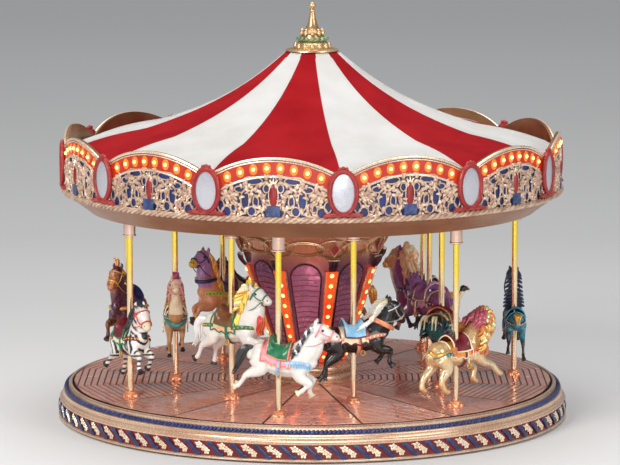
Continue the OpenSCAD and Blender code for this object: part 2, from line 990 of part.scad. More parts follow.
module grey_horse() {
    color("slategray")
        on_pole(9)
            horse_figure(poll = [22, 0, 24], nose = [34, 0, 17]);
}

module cream_horse() {
    color("wheat")
        on_pole(10)
            horse_figure(nose = [35, 0, 15]);
}

module lilac_horse() {
    color("plum")
        on_pole(11, 42)
            horse_figure(poll = [20, 0, 29], nose = [32, 0, 25]);
}

module llama() {
    color("tan")
        on_pole(12, 38) {
            torso(24, 8.2);
            saddle(8.2);
            limb([11, 0, 4], [17, 0, 26], 5.6, 3.8);
            limb([17, 0, 27], [26, 0, 26], 3.8, 2.4);
            for (side = [-1, 1])
                limb([15.6, side * 1.8, 29], [15, side * 2.2, 34], 1.3, 0.6);
            leg_pair([11, 0, -4], [15, 0, -16], [11, 0, -28], 2, 3.8, 2);
            leg_pair([-12, 0, -4], [-14, 0, -16], [-19, 0, -27], 2.2, 4, -2);
            limb([-18, 0, 4], [-24, 0, 0], 2, 1.6);
        }
}

module plumed_horse() {
    color("white")
        on_pole(13)
            horse_figure(poll = [22, 0, 26], nose = [33, 0, 20], long = 27);
}

base_shell();
bottom_cover();
rubber_feet();
bottom_screws();
movement_frame();
spindle();
music_comb();
winding_key();
winding_arbor();
click();
spring_barrel();
mainspring();
idler_gear();
governor();
music_cylinder();
cam_ring();
deck();
deck_ring_gear();
pole_feet();
column_shell();
column_lamp_strips();
ceiling_plate();
pole_sleeves();
battery_holder();
battery_door();
lamp_switch();
cornice_shell();
cornice_bulbs();
mirror_frames();
mirrors();
roof_canopy();
finial();
pole(0);  // pole_01
pole(1);  // pole_02
pole(2);  // pole_03
pole(3);  // pole_04
pole(4);  // pole_05
pole(5);  // pole_06
pole(6);  // pole_07
pole(7);  // pole_08
pole(8);  // pole_09
pole(9);  // pole_10
pole(10);  // pole_11
pole(11);  // pole_12
pole(12);  // pole_13
pole(13);  // pole_14
white_horse();
lion();
goat();
copper_horse();
bay_horse();
plum_horse();
zebra();
black_horse();
ostrich();
grey_horse();
cream_horse();
lilac_horse();
llama();
plumed_horse();
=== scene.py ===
import math

import bmesh
import bpy
import numpy as np
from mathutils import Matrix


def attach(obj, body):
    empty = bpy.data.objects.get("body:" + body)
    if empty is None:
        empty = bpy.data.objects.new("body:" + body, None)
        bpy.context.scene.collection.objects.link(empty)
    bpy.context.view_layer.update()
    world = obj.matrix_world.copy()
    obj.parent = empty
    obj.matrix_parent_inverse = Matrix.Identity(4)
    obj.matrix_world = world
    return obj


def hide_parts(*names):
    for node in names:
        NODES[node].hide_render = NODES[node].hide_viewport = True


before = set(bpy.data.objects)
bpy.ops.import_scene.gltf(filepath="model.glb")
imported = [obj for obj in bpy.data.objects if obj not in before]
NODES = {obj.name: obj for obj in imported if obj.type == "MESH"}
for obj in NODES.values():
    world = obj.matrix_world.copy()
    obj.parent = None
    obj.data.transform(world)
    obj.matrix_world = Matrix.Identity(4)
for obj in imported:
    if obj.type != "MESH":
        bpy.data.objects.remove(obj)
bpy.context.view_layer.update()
MM = 0.001

# ---------------------------------------------------------------- shape helpers, in millimetres


def turned(points, az):
    """Points turned about the upright axis by az degrees."""
    c, s = math.cos(math.radians(az)), math.sin(math.radians(az))
    p = np.asarray(points, float)
    return np.column_stack([p[:, 0] * c - p[:, 1] * s, p[:, 0] * s + p[:, 1] * c, p[:, 2]])


def placed(points, az, r, z):
    """Points from a place's own frame (x along the travel, -y outwards) to the shared frame."""
    return turned(np.asarray(points, float) + [0, -r, z], az)


def spline(points, count):
    """Smooth run of count rows through the given rows; every column is smoothed alike."""
    p = np.array(points, float)
    k = len(p) - 1
    t = np.linspace(0, k, count)
    i = np.minimum(t.astype(int), k - 1)
    f = (t - i)[:, None]
    e = np.vstack([2 * p[0] - p[1], p, 2 * p[-1] - p[-2]])
    a, b, c, d = e[i], e[i + 1], e[i + 2], e[i + 3]
    return 0.5 * (2 * b + (c - a) * f + (2 * a - 5 * b + 4 * c - d) * f**2 + (3 * b - a - 3 * c + d) * f**3)


class Shape:
    """Vertices, faces and a material number for each face."""

    def __init__(self):
        self.v = []
        self.f = []
        self.m = []
        self.n = 0

    def add(self, part, mat=0):
        points, faces = part
        points = np.asarray(points, float)
        self.v.append(points)
        self.f += [tuple(int(i) + self.n for i in f) for f in faces]
        self.m += [mat] * len(faces)
        self.n += len(points)
        return self

    def put(self, part, change, mat=0):
        """Adds a part with its points changed by the given function."""
        return self.add((change(part[0]), part[1]), mat)

    def points(self):
        return np.vstack(self.v)

    def moved(self, change):
        """A copy with its points changed by the given function."""
        other = Shape()
        other.v = [change(self.points())]
        other.f = list(self.f)
        other.m = list(self.m)
        other.n = self.n
        return other

    def take(self, other):
        self.v += other.v
        self.f += [tuple(i + self.n for i in f) for f in other.f]
        self.m += other.m
        self.n += other.n
        return self


def grid_faces(rows, cols, closed_rows=False, closed_cols=False):
    """Quads between neighbouring rows and columns of a grid of points."""
    i, j = np.meshgrid(
        np.arange(rows if closed_rows else rows - 1), np.arange(cols if closed_cols else cols - 1),
        indexing="ij"
    )
    a, b = i * cols, ((i + 1) % rows) * cols
    k = (j + 1) % cols
    return np.stack([a + j, a + k, b + k, b + j], axis=-1).reshape(-1, 4).tolist()


def tube(path, ra, rb=None, sides=8, up=(0, 0, 1), closed=False):
    """Pipe along a path; ra is its half width across, rb its half height towards up."""
    p = np.asarray(path, float)[:, :3]
    n = len(p)
    ra = np.broadcast_to(np.asarray(ra, float), n)
    rb = ra if rb is None else np.broadcast_to(np.asarray(rb, float), n)
    if closed:
        t = np.roll(p, -1, axis=0) - np.roll(p, 1, axis=0)
    else:
        t = np.gradient(p, axis=0)
    t /= np.linalg.norm(t, axis=1)[:, None] + 1e-12
    up = np.broadcast_to(np.asarray(up, float), p.shape)
    side = np.cross(t, up)
    side /= np.linalg.norm(side, axis=1)[:, None] + 1e-12
    top = np.cross(side, t)
    a = np.linspace(0, 2 * math.pi, sides, endpoint=False)
    ring = (
        p[:, None, :]
        + (ra[:, None] * np.cos(a))[:, :, None] * side[:, None, :]
        + (rb[:, None] * np.sin(a))[:, :, None] * top[:, None, :]
    )
    faces = grid_faces(n, sides, closed, True)
    if not closed:
        faces += [list(range(sides))[::-1], list(range((n - 1) * sides, n * sides))]
    return ring.reshape(-1, 3), faces


def bead(outline, h, ra, rb, sides=6):
    """Closed bead along a flat (u, v) outline at height h."""
    return tube(np.column_stack([outline, np.full(len(outline), h)]), ra, rb, sides, closed=True)


def lathe(profile, segments=160, closed=False):
    """Profile of (radius, height) turned about the upright axis."""
    q = np.asarray(profile, float)
    a = np.linspace(0, 2 * math.pi, segments, endpoint=False)
    p = np.stack(
        [
            q[:, None, 0] * np.sin(a)[None, :],
            -q[:, None, 0] * np.cos(a)[None, :],
            np.broadcast_to(q[:, None, 1], (len(q), segments)),
        ],
        axis=-1,
    )
    faces = grid_faces(len(q), segments, closed, True)
    if not closed:
        faces += [list(range(segments)), list(range((len(q) - 1) * segments, len(q) * segments))[::-1]]
    return p.reshape(-1, 3), faces


def ball(centre, radii, segments=12, rings=7):
    """Egg of three half widths."""
    a = np.linspace(0, 2 * math.pi, segments, endpoint=False)
    b = np.linspace(-math.pi / 2, math.pi / 2, rings + 2)[1:-1]
    p = np.stack(
        [
            np.outer(np.cos(b), np.cos(a)), np.outer(np.cos(b), np.sin(a)),
            np.outer(np.sin(b), np.ones(segments))
        ],
        axis=-1
    ).reshape(-1, 3)
    p = np.vstack([p, [[0, 0, -1], [0, 0, 1]]]) * np.broadcast_to(radii, 3) + np.asarray(centre, float)
    faces = grid_faces(rings, segments, False, True)
    low, high, last = rings * segments, rings * segments + 1, (rings - 1) * segments
    for j in range(segments):
        k = (j + 1) % segments
        faces.append([low, k, j])
        faces.append([high, last + j, last + k])
    return p, faces


def block(lo, hi):
    """Box between two corners."""
    x0, y0, z0 = lo
    x1, y1, z1 = hi
    p = [[x, y, z] for z in (z0, z1) for y in (y0, y1) for x in (x0, x1)]
    return np.array(p, float), [
        [0, 2, 3, 1], [4, 5, 7, 6], [0, 1, 5, 4], [2, 6, 7, 3], [0, 4, 6, 2], [1, 3, 7, 5]
    ]


def strip(s, low, high, h0, h1):
    """Plate between a lower and an upper line over s, from height h0 to h1."""
    n = len(s)
    rows = [np.column_stack([s, e, np.full(n, h)]) for e, h in ((low, h0), (low, h1), (high, h1), (high, h0))]
    p = np.vstack(rows)
    faces = grid_faces(4, n, True, False)
    faces += [[0, n, 2 * n, 3 * n], [4 * n - 1, 3 * n - 1, 2 * n - 1, n - 1]]
    return p, faces


def plate(outline, h0, h1):
    """Outline of (u, v) points made solid from height h0 to h1."""
    q = np.asarray(outline, float)
    n = len(q)
    p = np.vstack([np.column_stack([q, np.full(n, h)]) for h in (h0, h1)])
    faces = [list(range(n))[::-1], list(range(n, 2 * n))]
    faces += [[i, (i + 1) % n, n + (i + 1) % n, n + i] for i in range(n)]
    return p, faces


def oval(a, b, count=40, centre=(0, 0)):
    """Flat outline of an ellipse with half widths a and b."""
    t = np.linspace(0, 2 * math.pi, count, endpoint=False)
    return np.column_stack([centre[0] + a * np.cos(t), centre[1] + b * np.sin(t)])


def wrapped(points, az, r):
    """Points of (along, up, out) laid round a drum of radius r from the azimuth az."""
    p = np.asarray(points, float)
    a = math.radians(az) + p[:, 0] / r
    return np.column_stack([(r + p[:, 2]) * np.sin(a), -(r + p[:, 2]) * np.cos(a), p[:, 1]])


def facing(points, az, r, lean=0.0, pivot=0.0):
    """Points of (along, up, out) on the flat plane that faces az at distance r, leaning out above pivot."""
    p = np.asarray(points, float)
    rise = (p[:, 1] - pivot) * math.tan(math.radians(lean))
    return turned(np.column_stack([p[:, 0], -(r + rise + p[:, 2]), p[:, 1]]), az)


def piece(name, shape, mats, body, replaces=(), slot=None, smooth=True, sharp=35.0):
    """One visible piece from a Shape, riding on a body of the frame."""
    mesh = bpy.data.meshes.new(name)
    mesh.from_pydata((shape.points() * MM).tolist(), [], shape.f)
    for m in mats:
        mesh.materials.append(m)
    mesh.polygons.foreach_set("material_index", np.array(shape.m, dtype=np.int32))
    bm = bmesh.new()
    bm.from_mesh(mesh)
    bmesh.ops.recalc_face_normals(bm, faces=bm.faces)
    bm.to_mesh(mesh)
    bm.free()
    obj = bpy.data.objects.new(name, mesh)
    bpy.context.scene.collection.objects.link(obj)
    if smooth:
        mesh.polygons.foreach_set("use_smooth", [True] * len(mesh.polygons))
        mesh.set_sharp_from_angle(angle=math.radians(sharp))
    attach(obj, body)
    if replaces:
        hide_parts(*replaces)
    return obj


# ---------------------------------------------------------------- finishes


def finish(
    name, base, other, rough=0.4, metal=0.0, patch=45.0, grain=900.0, bump=0.15, crevice_shade=(0.05, 0.02, 0.01),
    worn=None, coat=0.0, glow=None, tint=None, upper=None, weave=0.0
):
    """Two tones in patches, a fine grain in the gloss and relief, painted shade darkening the crevices, and
    worn edges.
    """
    mat = bpy.data.materials.new(name)
    mat.use_nodes = True
    t = mat.node_tree
    t.nodes.clear()

    def node(kind, **settings):
        n = t.nodes.new(kind)
        for key, value in settings.items():
            setattr(n, key, value)
        return n

    def link(a, b):
        t.links.new(a, b)

    out = node("ShaderNodeOutputMaterial")
    shader = node("ShaderNodeBsdfPrincipled")
    link(shader.outputs["BSDF"], out.inputs["Surface"])
    where = node("ShaderNodeTexCoord").outputs["Object"]

    def noise(scale, detail=3.0):
        n = node("ShaderNodeTexNoise")
        n.inputs["Scale"].default_value = scale
        n.inputs["Detail"].default_value = detail
        link(where, n.inputs["Vector"])
        return n.outputs["Fac"]

    def spread(value, lo, hi, a, b):
        n = node("ShaderNodeMapRange")
        link(value, n.inputs["Value"])
        for key, v in (("From Min", lo), ("From Max", hi), ("To Min", a), ("To Max", b)):
            n.inputs[key].default_value = v
        return n.outputs["Result"]

    def mix(fac, a, b, blend="MIX"):
        n = node("ShaderNodeMix", data_type="RGBA", blend_type=blend)
        for socket, value in ((n.inputs["Factor"], fac), (n.inputs["A"], a), (n.inputs["B"], b)):
            if isinstance(value, bpy.types.NodeSocket):
                link(value, socket)
            elif isinstance(value, float):
                socket.default_value = value
            else:
                socket.default_value = (*value, 1.0)
        return n.outputs["Result"]

    patches = spread(noise(patch), 0.35, 0.65, 0.0, 1.0)
    if tint:
        paint = node("ShaderNodeAttribute", attribute_name=tint).outputs["Color"]
        shade = spread(noise(patch), 0.3, 0.7, 0.0, 0.45)
        colour = mix(shade, paint, other, "MULTIPLY")
    else:
        colour = mix(patches, base, other)
    # Another colour above a given height; on the poles it is a painted reflection of the yellow lamp glow.
    if upper:
        split = node("ShaderNodeSeparateXYZ")
        link(where, split.inputs["Vector"])
        colour = mix(spread(split.outputs["Z"], upper[0] * MM, upper[1] * MM, 0.0, 1.0), colour, upper[2])
    fine = noise(grain, 2.0)
    edge = node("ShaderNodeNewGeometry").outputs["Pointiness"]
    if worn:
        wear = node("ShaderNodeMath", operation="MULTIPLY")
        link(spread(edge, 0.52, 0.62, 0.0, 0.8), wear.inputs[0])
        link(spread(noise(patch * 5), 0.4, 0.7, 0.2, 1.0), wear.inputs[1])
        colour = mix(wear.outputs["Value"], colour, worn)
    # Painted shade: darker colour where the surface curves inwards, in creases and hollows.
    colour = mix(spread(edge, 0.49, 0.40, 0.0, 0.85), colour, crevice_shade)
    link(colour, shader.inputs["Base Color"])
    link(spread(fine, 0.3, 0.7, max(rough - 0.08, 0.02), min(rough + 0.1, 1.0)), shader.inputs["Roughness"])
    shader.inputs["Metallic"].default_value = metal
    shader.inputs["Coat Weight"].default_value = coat
    shader.inputs["Coat Roughness"].default_value = 0.08
    height = fine
    if weave:
        lines = []
        for axis in ("X", "Z"):
            w = node("ShaderNodeTexWave")
            w.bands_direction = axis
            w.inputs["Scale"].default_value = weave
            w.inputs["Distortion"].default_value = 0.6
            link(where, w.inputs["Vector"])
            lines.append(w.outputs["Fac"])
        both = node("ShaderNodeMath", operation="ADD")
        link(lines[0], both.inputs[0])
        link(lines[1], both.inputs[1])
        height = both.outputs["Value"]
        shader.inputs["Specular IOR Level"].default_value = 0.12
    relief = node("ShaderNodeBump")
    relief.inputs["Strength"].default_value = bump
    relief.inputs["Distance"].default_value = 0.0004
    link(height, relief.inputs["Height"])
    link(relief.outputs["Normal"], shader.inputs["Normal"])
    if glow:
        link(mix(patches, glow[0], glow[1]), shader.inputs["Emission Color"])
        shader.inputs["Emission Strength"].default_value = glow[2]
    return mat


GOLD = finish(
    "gilt", (0.56, 0.33, 0.15), (0.78, 0.52, 0.28), 0.27, 0.8, 60, 1400, 0.25, (0.10, 0.035, 0.01),
    (1.0, 0.86, 0.6)
)
PALE_GOLD = finish(
    "pale gilt", (0.80, 0.57, 0.38), (0.95, 0.76, 0.56), 0.27, 0.65, 70, 1500, 0.25, (0.20, 0.09, 0.05),
    (1.0, 0.95, 0.8)
)
SCROLL_GOLD = finish(
    "scroll gilt", (0.42, 0.25, 0.15), (0.62, 0.42, 0.29), 0.3, 0.45, 70, 1500, 0.4, (0.14, 0.05, 0.03),
    (0.95, 0.8, 0.62)
)
SCROLL_SHADE = finish(
    "scroll shade", (0.34, 0.18, 0.13), (0.52, 0.30, 0.22), 0.35, 0.4, 70, 1500, 0.4, (0.10, 0.03, 0.02),
    (0.8, 0.6, 0.5)
)
ROSE_GOLD = finish(
    "rose gilt", (0.76, 0.48, 0.32), (0.90, 0.65, 0.46), 0.24, 0.6, 40, 1200, 0.08, (0.12, 0.04, 0.02),
    (1.0, 0.85, 0.7)
)
SOCKET = finish(
    "socket copper", (0.80, 0.29, 0.13), (0.92, 0.40, 0.20), 0.2, 0.55, 60, 1200, 0.04, (0.12, 0.02, 0.01),
    (1.0, 0.7, 0.5)
)
COPPER = finish(
    "deck copper", (0.92, 0.30, 0.18), (0.97, 0.38, 0.25), 0.15, 0.5, 45, 700, 0.06, (0.16, 0.04, 0.04),
    (0.95, 0.65, 0.55),
)
COPPER_B = finish(
    "deck copper, second tone", (0.95, 0.37, 0.23), (1.0, 0.46, 0.32), 0.18, 0.5, 45, 700, 0.06,
    (0.16, 0.04, 0.04), (0.95, 0.65, 0.55)
)
SEAM = finish("deck seams", (0.05, 0.012, 0.014), (0.09, 0.025, 0.025), 0.45, 0.3, 30, 700, 0.3)
RED = finish(
    "red enamel", (0.21, 0.005, 0.009), (0.31, 0.011, 0.014), 0.38, 0.0, 50, 900, 0.1, (0.06, 0, 0),
    (0.6, 0.08, 0.06), coat=0.1
)
BLUE = finish(
    "blue enamel", (0.006, 0.013, 0.055), (0.010, 0.024, 0.10), 0.33, 0.0, 50, 900, 0.2, (0.0, 0.0, 0.015),
    (0.08, 0.12, 0.3), coat=0.15
)
ROYAL = finish(
    "cornice blue", (0.010, 0.018, 0.10), (0.018, 0.034, 0.19), 0.4, 0.0, 50, 800, 0.2, (0.0, 0.0, 0.02),
    coat=0.1
)
BROWN = finish(
    "ceiling brown", (0.20, 0.09, 0.035), (0.32, 0.15, 0.07), 0.38, 0.5, 35, 800, 0.3, (0.04, 0.015, 0.005)
)
RIM_COPPER = finish(
    "rim copper", (0.33, 0.15, 0.08), (0.42, 0.21, 0.12), 0.35, 0.6, 25, 900, 0.12, (0.1, 0.03, 0.01)
)
# The poles' saturated yellow above about 96 to 124 mm is a painted reflection of the lamp glow.
BRASS = finish(
    "pole brass", (0.82, 0.60, 0.38), (0.95, 0.76, 0.54), 0.14, 0.95, 60, 1500, 0.03, (0.1, 0.04, 0.02),
    upper=(96, 124, (0.98, 0.72, 0.10))
)
PEARL = finish(
    "sleeve gilt", (0.82, 0.56, 0.44), (0.92, 0.68, 0.56), 0.16, 0.85, 60, 1500, 0.03, (0.2, 0.08, 0.05)
)
LAMP_RED = finish(
    "lamp glass", (0.22, 0.006, 0.001), (0.32, 0.015, 0.003), 0.4, 0.0, 80, 900, 0.1, (0.2, 0.006, 0.0),
    coat=0.05, glow=((1.0, 0.035, 0.003), (1.0, 0.07, 0.006), 0.26)
)
LAMP_STRIP = finish(
    "strip glass", (0.50, 0.04, 0.01), (0.62, 0.08, 0.02), 0.25, 0.0, 60, 900, 0.1, (0.3, 0.01, 0.0),
    coat=0.2, glow=((1.0, 0.06, 0.006), (1.0, 0.14, 0.02), 0.6)
)
LAMP_HALO = finish(
    "lit lamp glass", (0.60, 0.12, 0.01), (0.70, 0.16, 0.02), 0.25, 0.0, 80, 900, 0.05, (0.4, 0.03, 0.0),
    glow=((1.0, 0.16, 0.008), (1.0, 0.22, 0.02), 0.75),
)
BULB = finish(
    "bulb glow", (1.0, 0.6, 0.2), (1.0, 0.75, 0.35), 0.15, 0.0, 80, 900, 0.05, (0.9, 0.3, 0.05), coat=0.4,
    glow=((1.0, 0.42, 0.09), (1.0, 0.58, 0.17), 3.6),
)
MIRROR = finish(
    "mirror glass", (0.50, 0.50, 0.55), (0.53, 0.53, 0.58), 0.2, 0.3, 20, 300, 0.0, (0.5, 0.5, 0.55)
)
COLUMN = finish(
    "column enamel", (0.36, 0.14, 0.30), (0.46, 0.20, 0.38), 0.18, 0.7, 35, 700, 0.1, (0.03, 0.01, 0.03),
    upper=(108, 128, (0.66, 0.31, 0.19)), coat=0.4,
)
PANE = finish(
    "column pane", (0.62, 0.30, 0.62), (0.70, 0.38, 0.68), 0.2, 0.85, 25, 500, 0.02, (0.1, 0.03, 0.1)
)
# Dark trim; it also colours the lines across the column panes, which are a painted reflection of the deck's
# planks.
DARK = finish("dark trim", (0.05, 0.012, 0.03), (0.10, 0.03, 0.05), 0.3, 0.4, 50, 900, 0.2)
GREEN = finish(
    "green enamel", (0.02, 0.16, 0.09), (0.05, 0.28, 0.15), 0.28, 0.2, 60, 900, 0.2, (0, 0.02, 0.01),
    (0.7, 0.6, 0.3), coat=0.4
)
CLOTH_RED = finish(
    "red cloth", (0.36, 0.004, 0.009), (0.46, 0.010, 0.015), 0.85, 0.0, 30, 1900, 0.6, (0.2, 0.005, 0.01),
    weave=1500
)
CLOTH_WHITE = finish(
    "white cloth", (0.74, 0.72, 0.69), (0.82, 0.81, 0.79), 0.88, 0.0, 30, 1900, 0.6, (0.5, 0.48, 0.45),
    weave=1500
)
RUBBER = finish("foot rubber", (0.03, 0.03, 0.03), (0.06, 0.055, 0.05), 0.7, 0.0, 60, 1200, 0.4)
STEEL = finish(
    "zinc steel", (0.55, 0.56, 0.58), (0.70, 0.71, 0.72), 0.32, 0.9, 60, 1500, 0.15, (0.2, 0.2, 0.2)
)
IVORY = finish("cam plastic", (0.70, 0.66, 0.55), (0.80, 0.77, 0.68), 0.5, 0.0, 60, 900, 0.2)
BLACK = finish("black plastic", (0.025, 0.025, 0.028), (0.05, 0.05, 0.052), 0.45, 0.0, 60, 1200, 0.3)
MOVEMENT = finish(
    "movement brass", (0.66, 0.46, 0.16), (0.80, 0.60, 0.28), 0.3, 0.9, 60, 1500, 0.12, (0.1, 0.05, 0.01)
)

POLES = " ".join(f"pole_{i:02d}" for i in range(1, 15))
KEPT = (
    (STEEL, "cover_steel", "bottom_cover"), (RUBBER, "foot_rubber", "rubber_feet"),
    (STEEL, "zinc_steel", "bottom_screws spindle winding_arbor"),
    (
        MOVEMENT, "movement_brass",
        "movement_frame winding_key spring_barrel idler_gear governor music_cylinder"
    ),
    (STEEL, "spring_steel", "music_comb click mainspring"),
    (IVORY, "cam_plastic", "cam_ring deck_ring_gear"), (BROWN, "ceiling_brown", "ceiling_plate"),
    (BLACK, "battery_black", "battery_holder battery_door lamp_switch"), (SEAM, "deck_copper", "deck"),
    (BRASS, "pole_gold", POLES)
)


def repaint(name, material, slot):
    """Gives a carried-over node its finish, keeping its shape."""
    node = NODES[name]
    node.data.materials.clear()
    node.data.materials.append(material)


for kept_finish, kept_slot, kept_names in KEPT:
    for kept_name in kept_names.split():
        repaint(kept_name, kept_finish, kept_slot)

# ---------------------------------------------------------------- shared places

DECK_TOP = 26.0
FIRST_AZ = -9.0
RING_COUNT = 7
RING_PITCH = 360 / RING_COUNT
INNER_LIFT = 8.0
OUTER_R, INNER_R = 152.0, 102.5
MIRROR_AZ = 6.6
PANELS = 12
PANEL_PITCH = 360.0 / PANELS
DRUM_R = 183.0
BAND_R = 188.3
ARCH_R = 89.7
ARCH_MID = 214.0 - ARCH_R


def rider_place(i):
    """(azimuth, radius, lift) of the pole numbered from 0: seven outer, then seven inner."""
    if i < RING_COUNT:
        return FIRST_AZ + RING_PITCH * i, OUTER_R, 0.0
    return FIRST_AZ + RING_PITCH * (i - RING_COUNT + 0.5), INNER_R, INNER_LIFT


def arch(s, r):
    """Height over s of the arch of radius r about the panel's own centre."""
    return ARCH_MID + np.sqrt(r * r - np.asarray(s, float) ** 2)


def arch_path(half, r, h, count=40):
    """Points along that arch, half to each side, at height h off the drum."""
    s = np.linspace(-half, half, count)
    return np.column_stack([s, arch(s, r), np.full(count, h)])


# ---------------------------------------------------------------- base


def twisted_ring(r, z, thick, strand, turns, strands, per_turn, sides=7):
    """Rope laid round the upright axis: several strands wound about one ring."""
    rope = Shape()
    count = turns * per_turn
    a = np.linspace(0, 2 * math.pi, count, endpoint=False)
    for k in range(strands):
        w = a * turns + 2 * math.pi * k / strands
        rr = r + thick * np.cos(w)
        path = np.column_stack([rr * np.sin(a), -rr * np.cos(a), z + thick * np.sin(w)])
        outward = np.column_stack([np.sin(a), -np.cos(a), np.zeros(count)])
        rope.add(tube(path, strand, strand, sides, outward, closed=True), k % 2)
    return rope


def cord_ring(r, z, count):
    """Tight cord laid round the upright axis, one slanted lobe after another."""
    cord = Shape()
    lobe, faces = ball((0, 0, 0), (2.3, 1.5, 1.25), 8, 5)
    tilt = math.radians(38)
    lean = np.column_stack([
        lobe[:, 0] * math.cos(tilt) - lobe[:, 2] * math.sin(tilt), lobe[:, 1],
        lobe[:, 0] * math.sin(tilt) + lobe[:, 2] * math.cos(tilt),
    ])
    for k in range(count):
        cord.add((placed(lean, 360 * k / count, r, z), faces), k % 2)
    return cord


def base_body():
    """Moulded base ring: lip, band, stepped cove and inner lip, open below like a tray."""
    shape = Shape()
    lip = [
        (185.8, 1.4), (188.4, 1.3), (189.7, 1.5), (190.0, 2.1), (189.6, 2.7), (188.9, 3.0), (188.3, 3.4),
    ]
    band = [(188.3, 3.4), (188.3, 13.2)]
    cove = [
        (188.3, 13.2), (189.0, 13.6), (189.1, 14.3), (188.3, 14.8), (187.3, 15.0), (187.2, 15.6),
        (186.3, 16.3), (185.9, 17.4), (185.9, 18.6), (186.5, 19.2), (186.4, 19.9), (185.4, 20.2),
        (182.8, 20.6)
    ]
    top = [
        (182.8, 20.6), (182.3, 23.4), (182.3, 24.8), (181.8, 25.5), (181.2, 25.1), (180.7, 25.1),
        (180.2, 25.7), (179.5, 25.4), (179.2, 24.0), (182.0, 19.6), (185.8, 13.0), (185.8, 1.4)
    ]
    for run, mat in ((lip, 0), (band, 1), (cove, 0), (top, 0)):
        p, faces = lathe(run, 256)
        shape.add((p, faces[:-2]), mat)
    return shape


def blossom(s, z, size, h):
    """Small moulded flower of petals round a button."""
    part = Shape()
    for k in range(5):
        a = 2 * math.pi * k / 5 + 0.3
        part.add(
            ball(
                (s + size * 0.62 * math.cos(a), z + size * 0.62 * math.sin(a), h),
                (size * 0.42, size * 0.42, 0.5), 7, 3
            )
        )
    part.add(ball((s, z, h + 0.35), (size * 0.3, size * 0.3, 0.45), 7, 3))
    return part


def base_ribbons():
    """Slanted ribbons round the base band with flower clusters between them."""
    ribbons, flowers = Shape(), Shape()
    count = 68
    one = tube(
        spline([[-6.2, 12.2, 0.25], [-3.4, 11.7, 0.7], [0, 8.3, 1.0], [3.4, 4.9, 0.7], [6.2, 4.4, 0.25]], 13),
        1.5, 0.85, 8, (0, 0, 1),
    )
    bunch = Shape()
    bunch.take(
        blossom(5.0, 10.4, 2.7, 0.7)
    ).take(blossom(8.5, 8.4, 2.3, 0.6)).take(blossom(11.0, 6.4, 2.5, 0.6))
    bunch.add(
        ball((2.6, 11.6, 0.2), (1.5, 0.7, 0.6), 7, 3)
    ).add(ball((11.9, 6.4, 0.2), (1.5, 0.7, 0.6), 7, 3))
    for k in range(count):
        az = 360 * k / count
        ribbons.put(one, lambda p, a=az: wrapped(p, a, BAND_R))
        flowers.take(bunch.moved(lambda p, a=az: wrapped(p + [0.2, 0, 0], a, BAND_R)))
    return ribbons, flowers


def plank(corners):
    """One plank from its four corners, with its upper edge eased."""
    mid = np.mean(corners, axis=0)
    top = np.array(corners) * 0.985 + mid * 0.015
    levels = ((corners, PLANK_LOW), (corners, PLANK_LOW + 0.22), (top, PLANK_LOW + 0.32))
    p = np.vstack([np.column_stack([ring, np.full(4, z)]) for ring, z in levels])
    faces = [[3, 2, 1, 0], [8, 9, 10, 11]]
    for lo in (0, 4):
        faces += [[lo + i, lo + (i + 1) % 4, lo + 4 + (i + 1) % 4, lo + 4 + i] for i in range(4)]
    return p, faces


PLANK_LOW = 25.9
PLANK_LIMIT = 178.2


def deck_planks():
    """Parquet of planks laid across each of sixteen sectors."""
    shape = Shape()
    sectors, step, seam, longest = 16, 4.7, 1.0, 30
    slope = math.tan(math.pi / sectors)
    rng = np.random.default_rng(4)

    def reach(d):
        """Half length of a plank's edge at the distance d from the axis."""
        return min(d * slope - seam * 0.3, math.sqrt(max(PLANK_LIMIT**2 - d**2, 1)))

    for k in range(sectors):
        d = 28.0
        while d < PLANK_LIMIT:
            d0, d1 = d + seam / 2, min(d + step - seam / 2, PLANK_LIMIT - 0.4)
            ends0, ends1 = reach(d0), reach(d1)
            if ends1 < 2:
                break
            joints = max(1, int(ends0 * 2 / longest))
            offset = rng.uniform(-0.2, 0.2)
            cuts = np.linspace(-1, 1, joints + 1)
            cuts[1:-1] += offset / joints
            gap = seam / 2 / ends0
            for a, b in zip(cuts[:-1] + gap, cuts[1:] - gap):
                corners = [(ends0 * a, -d0), (ends0 * b, -d0), (ends1 * b, -d1), (ends1 * a, -d1)]
                shape.put(
                    plank(corners), lambda p, az=360 * k / sectors: turned(p, az), int(rng.integers(0, 2))
                )
            d += step
    return shape


def drilled(obj, places, radius):
    """Cuts upright round holes through a piece at the given (azimuth, radius) places, and applies the cut."""
    cutter = Shape()
    for az, r in places:
        p, faces = lathe([(radius, -6.0), (radius, 6.0)], 24)
        cutter.add((placed(p, az, r, DECK_TOP), faces))
    mesh = bpy.data.meshes.new("drill")
    mesh.from_pydata((cutter.points() * MM).tolist(), [], cutter.f)
    tool = bpy.data.objects.new("drill", mesh)
    bpy.context.scene.collection.objects.link(tool)
    cut = obj.modifiers.new("holes", "BOOLEAN")
    cut.operation = "DIFFERENCE"
    cut.solver = "EXACT"
    cut.object = tool
    bpy.context.view_layer.update()
    ready = obj.evaluated_get(bpy.context.evaluated_depsgraph_get())
    fresh = bpy.data.meshes.new_from_object(ready)
    obj.modifiers.clear()
    obj.data = fresh
    bpy.data.objects.remove(tool)


piece("base_moulding", base_body(), [ROSE_GOLD, RED], "base", ["base_shell"], "base_enamel")
ribbon_shape, flower_shape = base_ribbons()
piece("base_ribbons", ribbon_shape, [BLUE], "base", slot="base_enamel")
piece("base_flowers", flower_shape, [PALE_GOLD], "base", slot="gold_gilt")
piece("base_rope", cord_ring(r=184.3, z=21.7, count=380), [BLUE, ROYAL], "base", slot="base_enamel")
planks = piece("deck_planks", deck_planks(), [COPPER, COPPER_B], "turntable", slot="deck_copper", sharp=20)
drilled(planks, [rider_place(i)[:2] for i in range(2 * RING_COUNT)], radius=3.6)

# ---------------------------------------------------------------- column


